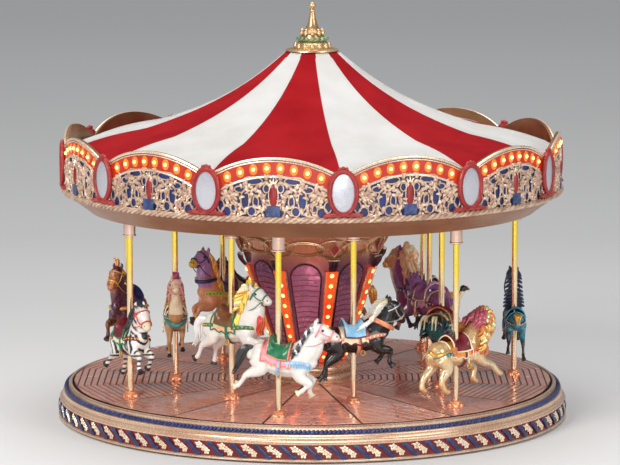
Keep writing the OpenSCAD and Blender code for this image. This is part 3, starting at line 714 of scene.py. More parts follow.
COLUMN_AZ = 16.5
COLUMN_LOW, COLUMN_HIGH = 40.6, 157.5
LOW_R, HIGH_R = 25.3, 65
FLAT, HALF_SIDE = math.cos(math.radians(22.5)), math.sin(math.radians(22.5))
GROWTH = (HIGH_R - LOW_R) / (COLUMN_HIGH - COLUMN_LOW)
RING_Z = 130.7
SPRING_Z = 108.0


def column_r(z):
    """Corner radius of the leaning eight-sided column at height z."""
    return LOW_R + GROWTH * (z - COLUMN_LOW)


def on_side(k):
    """Change from (along, up, out) to the shared frame on side k of the column."""
    lean = math.degrees(math.atan(GROWTH * FLAT))
    return lambda p: facing(p, COLUMN_AZ + 45 * (k + 0.5), LOW_R * FLAT, lean, COLUMN_LOW)


def on_corner(k):
    """The same on the corner edge k of the column."""
    lean = math.degrees(math.atan(GROWTH))
    return lambda p: facing(p, COLUMN_AZ + 45 * k, LOW_R, lean, COLUMN_LOW)


def column_walls():
    """Eight leaning walls, outside and inside."""
    levels = np.linspace(COLUMN_LOW, COLUMN_HIGH - 0.1, 12)
    rings = [(column_r(z), z) for z in levels] + [(column_r(z) - 2.2, z) for z in levels[::-1]]
    a = np.radians(COLUMN_AZ + 45 * np.arange(8))
    shape = Shape()
    p = np.vstack([np.column_stack([r * np.sin(a), -r * np.cos(a), np.full(8, z)]) for r, z in rings])
    shape.add((p, grid_faces(len(rings), 8, True, True)))
    return shape


def window_half(z, inset):
    """Half width of the arched window on a column side, which narrows with the side below."""
    return column_r(z) * HALF_SIDE * 0.80 - 3.4 - inset


def window_outline(inset):
    low, top = 50.0 + inset, 119.0 - inset
    w = window_half(SPRING_Z, inset)
    right = [(window_half(z, inset), z) for z in np.linspace(low, SPRING_Z, 8)]
    head = [
        (w * math.cos(a), SPRING_Z + (top - SPRING_Z) * math.sin(a))
        for a in np.linspace(0, math.pi, 13)[1:-1]
    ]
    return right + head + [(-u, z) for u, z in right[::-1]]


def crossbar(z, h, ra, rb, sides):
    """Straight bar across a column side at height z."""
    w = column_r(z) * HALF_SIDE
    return tube([[-w, z, h], [0, z, h], [w, z, h]], ra, rb, sides)


def side_dress():
    """Pane, dark trim, dark lines across the pane that are a painted reflection of the deck's planks, and
    gilt of one column side, in (along, up, out).
    """
    pane, dark, gilt = Shape(), Shape(), Shape()
    pane.add(plate(window_outline(0.6), 0.1, 0.5))
    dark.add(bead(window_outline(0.0), 0.45, 0.55, 0.6))
    # Thin dark bowed lines across each pane: a painted reflection of the deck's planks.
    for z in np.arange(53.0, 114.0, 4.1):
        w = window_half(min(z, SPRING_Z), 1.0) * math.sqrt(max(0.0, 1 - (max(z - SPRING_Z, 0) / 11) ** 2))
        dark.add(tube(spline([[-w, z - 0.6, 0.5], [0, z + 0.5, 0.5], [w, z - 0.3, 0.5]], 7), 0.16, 0.5, 6))
    for a, tall, h in ((14.6, 5.4, 1.3), (13.0, 4.3, 0.9)):
        gilt.add(bead(oval(a, tall, 40, (0, RING_Z)), h, 0.42, 0.7, 7))
    gilt.add(crossbar(141.2, 0.6, 0.6, 0.6, 8))
    for z in np.linspace(144, 156, 4):
        gilt.add(crossbar(z, 0.2, 0.5, 0.9, 6))
    return pane, dark, gilt


def corner_dress():
    """Lamp strip, bulbs, gem, dark flutes and gilt of one column corner, in (along, up, out)."""
    dark, gilt, gem, strip_glass, bulbs = (Shape() for _ in range(5))
    loop = oval(12.5, 6.8, 40, (0, RING_Z))
    gilt.add(tube(np.column_stack([loop, 1.6 - np.abs(loop[:, 0]) * 0.42]), 0.42, 0.7, 7, closed=True))
    gem.add(plate([(0, 126.4), (3.1, RING_Z), (0, 135.0), (-3.1, RING_Z)], 1.0, 2.6))
    gilt.add(bead([(0, 125.2), (3.9, RING_Z), (0, 136.2), (-3.9, RING_Z)], 1.8, 0.55, 0.7, 5))
    for u in (-2.6, 0, 2.6):
        run = spline([[u, 122, 3.0], [u * 0.9, 118.5, 3.4], [u * 0.55, 114.5, 1.6]], 7)
        dark.add(tube(run, 1.3, 1.5, 7))
    gilt.add(tube([[-4.2, 122.4, 2.4], [0, 122.4, 2.8], [4.2, 122.4, 2.4]], 0.8, 1.2, 8))
    z = np.linspace(42.5, 113.5, 10)
    half = 2.4 + 2.4 * (z - 42.5) / 71
    strip_glass.add(tube(np.column_stack([np.zeros(10), z, np.full(10, 0.4)]), half, 1.5, 10))
    for sign in (-1, 1):
        gilt.add(tube(np.column_stack([sign * (half + 0.1), z, np.full(10, 0.2)]), 0.5, 0.9, 6))
    for z in np.arange(46.5, 112, 8.0):
        r = 1.25 + 0.45 * (z - 46.5) / 65
        bulbs.add(ball((0, z, 1.5), (r, r, r * 0.8), 10, 6))
    return dark, gilt, gem, strip_glass, bulbs


def column_dress():
    """Everything on the column's eight sides and corners."""
    panes, frames, gilt, gems, strips, bulbs = (Shape() for _ in range(6))
    for k in range(8):
        for whole, part in zip((panes, frames, gilt), side_dress()):
            whole.take(part.moved(on_side(k)))
        for whole, part in zip((frames, gilt, gems, strips, bulbs), corner_dress()):
            whole.take(part.moved(on_corner(k)))
    return panes, frames, gilt, gems, strips, bulbs


def column_foot():
    """Two gilt rings and the plinth that the column stands on."""
    shape = Shape()
    profile = [(20, 26.2), (30.0, 26.2), (30.4, 27.0), (29.4, 27.6)]
    for centre in (29.9, 36.6):
        for a in np.linspace(-75, 75, 9):
            profile.append((26.6 + 3.5 * math.cos(math.radians(a)), centre + 3.2 * math.sin(math.radians(a))))
    profile += [(26.6, 40.2), (26.0, 40.8), (24.6, 41.4), (20, 41.4)]
    shape.add(lathe(profile, 96))
    return shape


piece("column_walls", column_walls(), [COLUMN], "turntable", ["column_shell"], "column_purple", smooth=False)
c_panes, c_frames_and_reflections, c_gilt, c_gems, c_strips, c_bulbs = column_dress()
piece("column_panes", c_panes, [PANE], "turntable", slot="column_purple", smooth=False)
piece("column_frames_and_pane_reflections", c_frames_and_reflections, [DARK], "turntable", slot="column_purple")
piece("column_gilt", c_gilt, [GOLD], "turntable", slot="gold_gilt")
piece("column_gems", c_gems, [RED], "turntable", slot="frame_red", smooth=False)
piece("column_lamp_glass", c_strips, [LAMP_STRIP], "turntable", ["column_lamp_strips"], "lamp_amber")
piece("column_bulbs", c_bulbs, [BULB], "turntable", slot="lamp_amber")
piece("column_foot_rings", column_foot(), [ROSE_GOLD], "turntable", slot="gold_gilt")


def pole_feet():
    """Four-lobed socket with a round hub at each pole."""
    shape = Shape()
    for i in range(2 * RING_COUNT):
        az, r, _ = rider_place(i)
        one = Shape()
        for a in range(0, 360, 90):
            profile = [(0.02, 0), (2.6, 0), (2.7, 1.0), (2.4, 1.7), (1.6, 2.0), (0.02, 2.1)]
            p, faces = lathe(profile, 20)
            one.add((turned(p + [3.2, 0, 0], a + 45), faces))
        hub = [
            (2.35, 0.1), (4.3, 0.1), (4.5, 2.2), (4.5, 3.6), (4.0, 4.2), (3.1, 4.5), (2.6, 4.5), (2.35, 4.2)
        ]
        one.add(lathe(hub, 28, closed=True))
        shape.take(one.moved(lambda p, a=az, rr=r: placed(p, a, rr, 26.12)))
    return shape


def pole_sleeves():
    """Tube that each pole slides in, with a beaded mouth and a collar at the ceiling."""
    shape = Shape()
    for i in range(2 * RING_COUNT):
        az, r, _ = rider_place(i)
        profile = [
            (2.4, 143.9), (4.3, 143.9), (4.9, 144.3), (4.9, 145.1), (4.4, 145.5), (4.4, 154.2), (4.9, 154.6),
            (5.4, 155.4), (5.4, 156.6), (6.0, 157.3), (2.4, 157.3),
        ]
        p, faces = lathe(profile, 28, closed=True)
        shape.add((placed(p, az, r, 0), faces))
    return shape


piece("pole_sockets", pole_feet(), [SOCKET], "turntable", ["pole_feet"], "copper_gilt")
piece("pole_guides", pole_sleeves(), [PEARL], "turntable", ["pole_sleeves"], "gold_gilt")

# ---------------------------------------------------------------- cornice


def panel_ground():
    """Arched plate of one cornice panel; its face is blue and its back brown."""
    half = DRUM_R * math.radians(14.7)
    s = np.linspace(-half, half, 33)
    low = np.full(33, 171.9)
    ground = Shape()
    p, faces = strip(s, low, arch(s, ARCH_R), -2.2, -0.4)
    ground.add((p, faces), 1)
    p, faces = strip(s, low, arch(s, ARCH_R - 1), -0.5, 0.0)
    ground.add((p, faces), 0)
    return ground


STONE_Z = 187.4
MIRROR_Z = 189.6
OPENINGS = (
    (0.0, 198.6, 1.4, 2.6), (4.9, 192.4, 1.7, 2.4), (14.6, 197.6, 6.4, 2.2), (20.0, 184.2, 2.5, 6.6),
    (23.8, 191.4, 3.3, 1.7), (12.4, 183.0, 1.5, 3.9), (15.4, 176.4, 2.4, 2.8), (28.6, 178.0, 1.3, 3.0),
    (33.4, 175.6, 3.1, 3.2), (37.6, 179.6, 2.0, 3.4)
)

LEAF_GAP = 1.4
CLEAR = OPENINGS + ((0.0, STONE_Z, 2.6, 8.0), (0.0, 176.9, 4.4, 3.4))


def leaf_curl(s, z, angle, bend, size):
    """One carved leaf: a short run that swells, bends to one side and ends in a raised tip."""
    turn = angle + bend * np.linspace(0, 1, 5)
    step = size * 0.26
    along, up = s + step * np.cumsum(np.cos(turn)), z + step * np.cumsum(np.sin(turn))
    run = np.column_stack([along, up, 0.35 + 0.75 * np.sin(np.linspace(0.2, 2.6, 5))])
    return tube(run, size * np.array([0.16, 0.30, 0.30, 0.22, 0.10]), None, 6)


def panel_scrolls():
    """Leaf relief over both halves of a panel; each opening to the blue ground is edged by a scroll."""
    rng = np.random.default_rng(9)
    half = Shape()
    for row, z in enumerate(np.arange(173.6, 201.0, 2.0)):
        for s in np.arange(0.6 + 0.9 * (row % 2), 44.0, 1.9):
            u, v = s + rng.uniform(-0.5, 0.5), z + rng.uniform(-0.5, 0.5)
            if v > float(arch(np.array(u), 75.2)):
                continue
            if any(
                ((u - a) / (w + LEAF_GAP)) ** 2 + ((v - b) / (h + LEAF_GAP)) ** 2 < 1 for a, b, w,
                h in CLEAR
            ):
                continue
            centre = min(OPENINGS, key=lambda o: (u - o[0]) ** 2 + (v - o[1]) ** 2)
            swirl = math.atan2(v - centre[1], u - centre[0]) + math.pi / 2
            leaf = leaf_curl(
                u, v, swirl + rng.uniform(-0.5, 0.5), rng.choice((-1.6, 1.6)), rng.uniform(3.0, 4.4)
            )
            half.add(leaf, int(rng.integers(0, 3) == 0))
    for a, b, w, h in OPENINGS:
        half.add(bead(oval(w + 0.5, h + 0.5, 18, (a, b)), 0.7, 0.55, 0.6))
    both = Shape()
    both.take(half)
    both.take(half.moved(lambda p: p * [-1, 1, 1]))
    return both


def panel_trim():
    """Double gilt edge on the arch and the thick moulding under the lamps."""
    trim = Shape()
    for half, r, thick, h in (
        (44.6, ARCH_R - 0.8, 1.0, 0.5), (44.6, ARCH_R - 2.6, 0.45, 0.6), (44.0, 76.4, 0.9, 0.6)
    ):
        trim.add(tube(arch_path(half, r, h), thick, thick, 8))
    return trim


def panel_lamps():
    """Glowing band under the arch with eight bulbs in brighter spots."""
    s = np.linspace(-44.6, 44.6, 33)
    band = Shape()
    band.add(strip(s, arch(s, 77.0), arch(s, ARCH_R - 2.4), 0.0, 0.5))
    bulbs = Shape()
    count, step = 8, 2.95
    for i in range(count):
        a = math.radians(step * (i - (count - 1) / 2)) * DRUM_R
        middle = float(arch(a, ARCH_R - 7.4))
        band.add(ball((a, middle, 0.4), (3.0, 4.0, 0.5), 16, 5), 1)
        bulbs.add(ball((a, middle, 1.0), (1.35, 1.35, 1.3), 12, 7))
    return band, bulbs


def panel_centre():
    """Oval cabochon, small crown and plinth at the middle of a panel."""
    stone, crown, plinth = Shape(), Shape(), Shape()
    stone.add(ball((0, STONE_Z, 0.8), (2.9, 8.4, 2.0), 18, 11))
    crown.add(bead(oval(3.3, 8.8, 28, (0, STONE_Z)), 0.7, 0.4, 0.8))
    for u in (-2.2, 0, 2.2):
        tall = 199.2 - abs(u) * 0.5
        run = [[u * 0.6, 196.0, 0.8], [u * 0.9, 197.6, 1.1], [u * 1.2, tall, 0.9]]
        crown.add(tube(run, [0.8, 0.6, 0.35], None, 6))
        crown.add(ball((u * 1.25, tall, 0.9), (0.6, 0.6, 0.6), 7, 5))
    crown.add(ball((0, 196.2, 0.5), (2.6, 0.9, 1.1), 10, 5))
    plinth.add(block((-4.6, 173.2, 0), (4.6, 180.6, 2.4)))
    return stone, crown, plinth


def mirror_units():
    """Oval mirrors in beaded frames at the panel joints, each with a wide foot over the rope."""
    frames, glass = Shape(), Shape()
    one = Shape()
    middle = (0, MIRROR_Z)
    one.add(bead(oval(9.6, 15.0, 48, middle), 3.2, 1.6, 1.8, 10))
    one.add(bead(oval(8.2, 13.7, 48, middle), 4.1, 0.5, 0.5))
    one.add(plate(oval(9.8, 15.2, 48, middle), 0.2, 3.2))
    for a in math.pi * np.linspace(0.2, 0.8, 13):
        one.add(ball((10.9 * math.cos(a), MIRROR_Z + 16.3 * math.sin(a), 3.2), (0.9, 0.9, 1.0), 7, 5))
    for u, z, r in ((0, 206.8, 1.5), (-2.4, 206.4, 1.3), (2.4, 206.4, 1.3)):
        one.add(ball((u, z, 3.0), (r, r, 1.4), 9, 6))
    right = [(14.0, 173.2), (13.6, 174.9), (9.4, 175.6), (5.6, 175.9)]
    foot = right + [(-u, z) for u, z in right[::-1]]
    one.add(plate(foot, 1.4, 4.3))
    one.add(tube([[-13.4, 173.9, 4.3], [0, 174.2, 4.6], [13.4, 173.9, 4.3]], 0.5, 0.7, 6))
    pane = Shape()
    rings = []
    for f in (1.0, 0.8, 0.55, 0.3, 0.08):
        o = oval(8.0 * f, 13.6 * f, 40, middle)
        rings.append(np.column_stack([o, np.full(40, 3.5 + 0.5 * (1 - f * f))]))
    pane.add((np.vstack(rings), grid_faces(5, 40, False, True) + [list(range(160, 200))]))
    back = np.column_stack([oval(8.0, 13.6, 40, middle), np.full(40, 3.0)])
    pane.add((np.vstack([back, rings[0]]), [list(range(40))[::-1]] + grid_faces(2, 40, False, True)))
    for k in range(PANELS):
        az = MIRROR_AZ + PANEL_PITCH * k
        frames.take(one.moved(lambda p, a=az: facing(p, a, DRUM_R - 0.6)))
        glass.take(pane.moved(lambda p, a=az: facing(p, a, DRUM_R - 0.6)))
    return frames, glass


def cornice_ring():
    """Plain flared band and the drum that carries the panels."""
    shape = Shape()
    profile = [
        (164.6, 156.0), (166.4, 155.9), (167.0, 156.5), (175.2, 162.6), (180.6, 166.6), (182.2, 168.2),
        (183.4, 168.6), (183.4, 171.6), (181.0, 171.8), (180.6, 171.4), (180.6, 170.2), (164.6, 158.2)
    ]
    shape.add(lathe(profile, 240, closed=True))
    return shape


grounds, scrolls, trims, lamp_bands, lamp_bulbs, stones, crowns, plinths = (Shape() for _ in range(8))
one_ground, one_scroll, one_trim = panel_ground(), panel_scrolls(), panel_trim()
one_band, one_bulbs = panel_lamps()
one_stone, one_crown, one_plinth = panel_centre()
for k in range(PANELS):
    panel_az = MIRROR_AZ + PANEL_PITCH * (k + 0.5)
    for whole, one in (
        (grounds, one_ground), (scrolls, one_scroll), (trims, one_trim), (lamp_bands, one_band),
        (lamp_bulbs, one_bulbs), (stones, one_stone), (crowns, one_crown), (plinths, one_plinth),
    ):
        whole.take(one.moved(lambda p, a=panel_az: wrapped(p, a, DRUM_R)))
piece("cornice_panels", grounds, [ROYAL, BROWN], "turntable", ["cornice_shell"], "cornice_navy")
piece("cornice_scrolls", scrolls, [SCROLL_GOLD, SCROLL_SHADE], "turntable", slot="gold_gilt")
piece("cornice_edges", trims, [PALE_GOLD], "turntable", slot="gold_gilt")
piece("cornice_lamp_bands", lamp_bands, [LAMP_RED, LAMP_HALO], "turntable", slot="lamp_amber")
piece("cornice_lamps", lamp_bulbs, [BULB], "turntable", ["cornice_bulbs"], "lamp_amber")
piece("cornice_stones", stones, [RED], "turntable", slot="frame_red")
piece("cornice_crowns", crowns, [PALE_GOLD], "turntable", slot="gold_gilt")
piece("cornice_plinths", plinths, [BLUE], "turntable", slot="cornice_navy", smooth=False)
piece("cornice_band", cornice_ring(), [RIM_COPPER], "turntable", slot="copper_gilt")
piece(
    "cornice_rope",
    twisted_ring(r=184.3, z=170.6, thick=1.25, strand=1.15, turns=82, strands=3, per_turn=9),
    [SCROLL_GOLD, SCROLL_SHADE], "turntable", slot="gold_gilt"
)
mirror_shape, glass_shape = mirror_units()
piece("mirror_surrounds", mirror_shape, [RED], "turntable", ["mirror_frames"], "frame_red")
piece("mirror_glasses", glass_shape, [MIRROR], "turntable", ["mirrors"], "mirror_glass")

# ---------------------------------------------------------------- roof


ROOF_EDGE, ROOF_CROWN = (180.2, 200.4), (19.6, 271.4)
PER_GORE = 14


def tent(t):
    """Rise of the roof from its edge (0) to its crown (1); the cloth hangs hollow between them."""
    return 0.58 * t + 0.42 * t**3.5 + np.where(t < 0.35, 0.03 * np.sin(np.pi * t / 0.35), 0.0)


def roof_sheet():
    """One sheet of twelve gores, dipping a little between the seams."""
    rows = 40
    t = np.linspace(0, 1, rows)
    cols = PANELS * PER_GORE
    f = np.arange(cols) / PER_GORE
    az = np.radians(MIRROR_AZ + PANEL_PITCH * f)
    dip = np.sin(np.pi * (f % 1.0))
    r = ROOF_EDGE[0] + (ROOF_CROWN[0] - ROOF_EDGE[0]) * t
    z = ROOF_EDGE[1] + (ROOF_CROWN[1] - ROOF_EDGE[1]) * tent(t)
    sag = 1.9 * np.sin(np.pi * np.clip(t, 0, 1)) ** 0.8
    p = np.stack(
        [
            r[:, None] * np.sin(az)[None, :] * (1 - 0.004 * dip),
            -r[:, None] * np.cos(az)[None, :] * (1 - 0.004 * dip),
            z[:, None] - sag[:, None] * dip[None, :] * (0.35 + 0.65 * r[:, None] / 180),
        ],
        axis=-1,
    )
    faces = grid_faces(rows, cols, False, True)
    mats = [((j // PER_GORE) % 2) for _ in range(rows - 1) for j in range(cols)]
    return p.reshape(-1, 3), faces, mats, p


roof_points, roof_faces, roof_mats, roof_grid = roof_sheet()
roof_shape = Shape()
roof_shape.add((roof_points, roof_faces))
roof_shape.m = roof_mats
roof = piece(
    "roof_sheet", roof_shape, [CLOTH_WHITE, CLOTH_RED], "turntable", ["roof_canopy"], "roof_fabric",
    sharp=180
)
thick = roof.modifiers.new("cloth", "SOLIDIFY")
thick.thickness = 0.35 * MM
thick.offset = -1


def roof_seams():
    """Raised welt along each seam."""
    seams = Shape()
    for k in range(PANELS):
        col = roof_grid[:, k * PER_GORE, :]
        run = col[1:-1] + [0, 0, 0.15]
        seams.add(tube(run, 0.55, 0.3, 6))
    return seams


def sheet_area(points, faces):
    """Area in square metres of quads in millimetres."""
    q = points[np.array(faces)] * MM
    a = np.linalg.norm(np.cross(q[:, 1] - q[:, 0], q[:, 2] - q[:, 0]), axis=1) / 2
    b = np.linalg.norm(np.cross(q[:, 2] - q[:, 0], q[:, 3] - q[:, 0]), axis=1) / 2
    return float(a.sum() + b.sum())


seams = piece("roof_seams", roof_seams(), [CLOTH_WHITE], "turntable", slot="roof_fabric")
roof_area = sheet_area(roof_points, roof_faces)


def finial_parts():
    """Turned rod, dish, onion and ball, with three rows of beads and a green collar."""
    gold, green = Shape(), Shape()
    rod = [(2.9, 159.8), (2.9, 268.0), (2.2, 270.0)]
    disc = [
        (2.2, 270.0), (19.0, 271.3), (19.9, 272.0), (19.6, 272.9), (18.4, 273.3), (14.4, 273.6),
        (13.8, 274.4), (12.8, 276.6), (11.0, 278.4), (9.6, 279.2), (9.4, 280.4), (8.2, 281.2), (7.4, 283.6),
        (7.9, 285.2), (6.9, 286.6), (5.2, 288.2), (3.6, 291.8), (2.6, 296.0), (2.0, 299.2), (1.9, 300.4),
        (2.7, 301.2), (1.9, 302.0), (1.5, 302.6)
    ]
    for a in np.linspace(-60, 90, 9):
        disc.append((max(2.6 * math.cos(math.radians(a)), 0.02), 305.2 + 2.6 * math.sin(math.radians(a))))
    gold.add(lathe(rod + disc[1:], 72))
    for count, r, z, size, fine, where in (
        (14, 12.6, 275.4, (1.9, 1.9, 2.3), (10, 7), gold),
        (16, 10.4, 281.0, (1.7, 1.7, 1.5), (10, 7), green),
        (10, 8.2, 284.8, (1.6, 1.6, 2.0), (10, 7), gold),
        (10, 7.6, 287.4, (0.9, 0.9, 1.2), (8, 5), gold),
    ):
        for a in np.linspace(0, 2 * math.pi, count, endpoint=False):
            where.add(ball((r * math.sin(a), -r * math.cos(a), z), size, *fine))
    ring = np.linspace(0, 2 * math.pi, 64, endpoint=False)
    green.add(
        tube(
            np.column_stack([9.8 * np.sin(ring), -9.8 * np.cos(ring), np.full(64, 280.0)]), 1.5, 1.0, 8,
            closed=True
        )
    )
    return gold, green


finial_gold, finial_green = finial_parts()
piece("finial_turned", finial_gold, [GOLD], "turntable", ["finial"], "gold_gilt")
piece("finial_collar", finial_green, [GREEN], "turntable", slot="gold_gilt")

# ---------------------------------------------------------------- animals

PAINT = {
    "white": (0.84, 0.82, 0.78), "cream": (0.80, 0.66, 0.44), "black": (0.012, 0.011, 0.012),
    "maroon": (0.13, 0.006, 0.014), "salmon": (0.72, 0.22, 0.13), "orange": (0.80, 0.24, 0.03),
    "gold": (0.70, 0.38, 0.09), "navy": (0.012, 0.02, 0.12), "green": (0.01, 0.14, 0.06),
    "teal": (0.008, 0.16, 0.17), "purple": (0.09, 0.012, 0.14), "lilac": (0.50, 0.28, 0.62),
    "aqua": (0.04, 0.26, 0.34), "wine": (0.30, 0.04, 0.24), "ember": (0.52, 0.14, 0.04),
    "pink": (0.74, 0.26, 0.32), "brown": (0.16, 0.06, 0.022), "sky": (0.22, 0.46, 0.68),
    "yellow": (0.85, 0.58, 0.08), "silver": (0.52, 0.53, 0.56), "slate": (0.03, 0.045, 0.09),
    "copper": (0.50, 0.20, 0.09), "tan": (0.46, 0.24, 0.10), "lime": (0.36, 0.50, 0.05),
    "magenta": (0.32, 0.03, 0.20), "red": (0.55, 0.03, 0.03), "peach": (0.82, 0.40, 0.22),
    "wheat": (0.88, 0.62, 0.34), "plum": (0.085, 0.02, 0.05), "violet": (0.26, 0.10, 0.30),
    "ruby": (0.36, 0.07, 0.10)
}
LACQUER = {}


def lacquer(colour):
    """Glossy paint of a named colour, mixed once."""
    if colour not in LACQUER:
        base = PAINT[colour]
        other = tuple(min(c * 1.5 + 0.02, 1.0) for c in base)
        shade = tuple(c * 0.25 for c in base)
        metal = 0.6 if colour in ("gold", "silver", "copper", "wheat") else 0.0
        LACQUER[colour] = finish(
            colour + " lacquer", base, other, 0.26, metal, 170, 1600, 0.12, shade, coat=0.2
        )
    return LACQUER[colour]


SKIN = finish(
    "painted hide", (1, 1, 1), (0.80, 0.70, 0.62), 0.24, 0.0, 130, 1300, 0.12, (0.04, 0.02, 0.012),
    tint="paint", coat=0.3
)
GILT_SKIN = finish(
    "gilded hide", (1, 1, 1), (0.85, 0.70, 0.55), 0.2, 0.5, 130, 1300, 0.12, (0.06, 0.025, 0.01),
    tint="paint", coat=0.3
)


def limb(rows, count=14):
    """Round-ended run of (x, y, z, half width across, half width in its own plane)."""
    q = spline(rows, count)
    q[:, 3:] = np.maximum(q[:, 3:], 0.25)
    part = Shape()
    part.add(tube(q[:, :3], q[:, 4], q[:, 3], 12, (0, 1, 0)))
    for end in (q[0], q[-1]):
        r = (end[3] + end[4]) / 2
        part.add(ball(end[:3], (r * 0.96, end[3] * 0.98, r * 0.96), 12, 7))
    return part


def skinned(name, shape, paint, where, body, node, slot, grain=0.62):
    """Joins overlapping limbs into one smooth hide, paints it point by point, and sets it on its pole."""
    mesh = bpy.data.meshes.new(name)
    mesh.from_pydata(shape.points().tolist(), [], shape.f)
    bm = bmesh.new()
    bm.from_mesh(mesh)
    bmesh.ops.recalc_face_normals(bm, faces=bm.faces)
    bm.to_mesh(mesh)
    bm.free()
    rough = bpy.data.objects.new(name + "_rough", mesh)
    bpy.context.scene.collection.objects.link(rough)
    join = rough.modifiers.new("join", "REMESH")
    join.mode = "VOXEL"
    join.voxel_size = grain
    soften = rough.modifiers.new("soften", "SMOOTH")
    soften.factor = 0.5
    soften.iterations = 5
    bpy.context.view_layer.update()
    ready = rough.evaluated_get(bpy.context.evaluated_depsgraph_get())
    hide = bpy.data.meshes.new_from_object(ready)
    bpy.data.objects.remove(rough)
    hide.name = name
    count = len(hide.vertices)
    local = np.empty(count * 3)
    hide.vertices.foreach_get("co", local)
    local = local.reshape(-1, 3)
    tone = hide.color_attributes.new("paint", "FLOAT_COLOR", "POINT")
    rgba = np.ones((count, 4))
    rgba[:, :3] = paint(local)
    tone.data.foreach_set("color", rgba.ravel())
    hide.vertices.foreach_set("co", (where(local) * MM).ravel())
    hide.materials.clear()
    hide.materials.append(GILT_SKIN if slot == "animal_gold" else SKIN)
    hide.polygons.foreach_set("use_smooth", [True] * len(hide.polygons))
    hide.update()
    obj = bpy.data.objects.new(name, hide)
    bpy.context.scene.collection.objects.link(obj)
    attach(obj, body)
    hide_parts(node)
    return obj


FORE = {
    "tuck": ((2.5, -6.0), (9.5, -8.0), (8.6, -16.0), (11.2, -19.2)),
    "reach": ((3.0, -5.5), (12.0, -7.0), (16.5, -13.5), (19.8, -15.0)),
    "fold": ((2.0, -6.0), (9.5, -9.0), (4.5, -15.0), (1.6, -17.2)),
    "down": ((1.0, -7.0), (3.5, -14.0), (1.0, -22.0), (2.6, -25.4)),
}
HIND = {
    "back": ((2.5, -7.0), (-5.5, -13.5), (-9.5, -21.5), (-12.8, -23.6)),
    "push": ((3.0, -7.5), (-3.0, -14.5), (-4.5, -23.0), (-5.6, -26.4)),
    "under": ((4.0, -7.0), (1.0, -14.0), (5.0, -21.0), (4.6, -24.6)),
    "stretch": ((0.5, -5.5), (-8.0, -10.0), (-15.0, -14.5), (-18.6, -15.6)),
    "trail": ((1.5, -6.5), (-7.0, -12.0), (-11.5, -20.0), (-14.5, -21.6)),
}


def leg(root, pose, side, thick, hind):
    """One leg from its root; returns the limb and the hoof."""
    x, z, out = root
    (ax, az_), (bx, bz), (cx, cz), (dx, dz) = pose
    y = side * out
    grow = 1.3 if hind else 1.05
    thick = thick * 1.18
    rows = [
        [x, y * 0.85, z, 3.4 * grow * thick, 5.2 * grow * thick],
        [x + ax, y, z + az_, 2.5 * grow * thick, 3.4 * grow * thick],
        [x + bx, y * 1.04, z + bz, 1.7 * thick, 2.1 * thick],
        [x + (bx + cx) / 2, y * 1.04, z + (bz + cz) / 2, 1.15 * thick, 1.25 * thick],
        [x + cx, y * 1.04, z + cz, 1.35 * thick, 1.5 * thick],
        [x + (cx + dx) / 2, y * 1.04, z + (cz + dz) / 2, 1.25 * thick, 1.35 * thick],
    ]
    hoof_path = [[x + cx + (dx - cx) * 0.42, y * 1.04, z + cz + (dz - cz) * 0.42], [x + dx, y * 1.04, z + dz]]
    hoof = tube(hoof_path, [1.35 * thick, 2.1 * thick], [1.35 * thick, 1.9 * thick], 12, (0, 1, 0))
    return limb(rows, 20), hoof


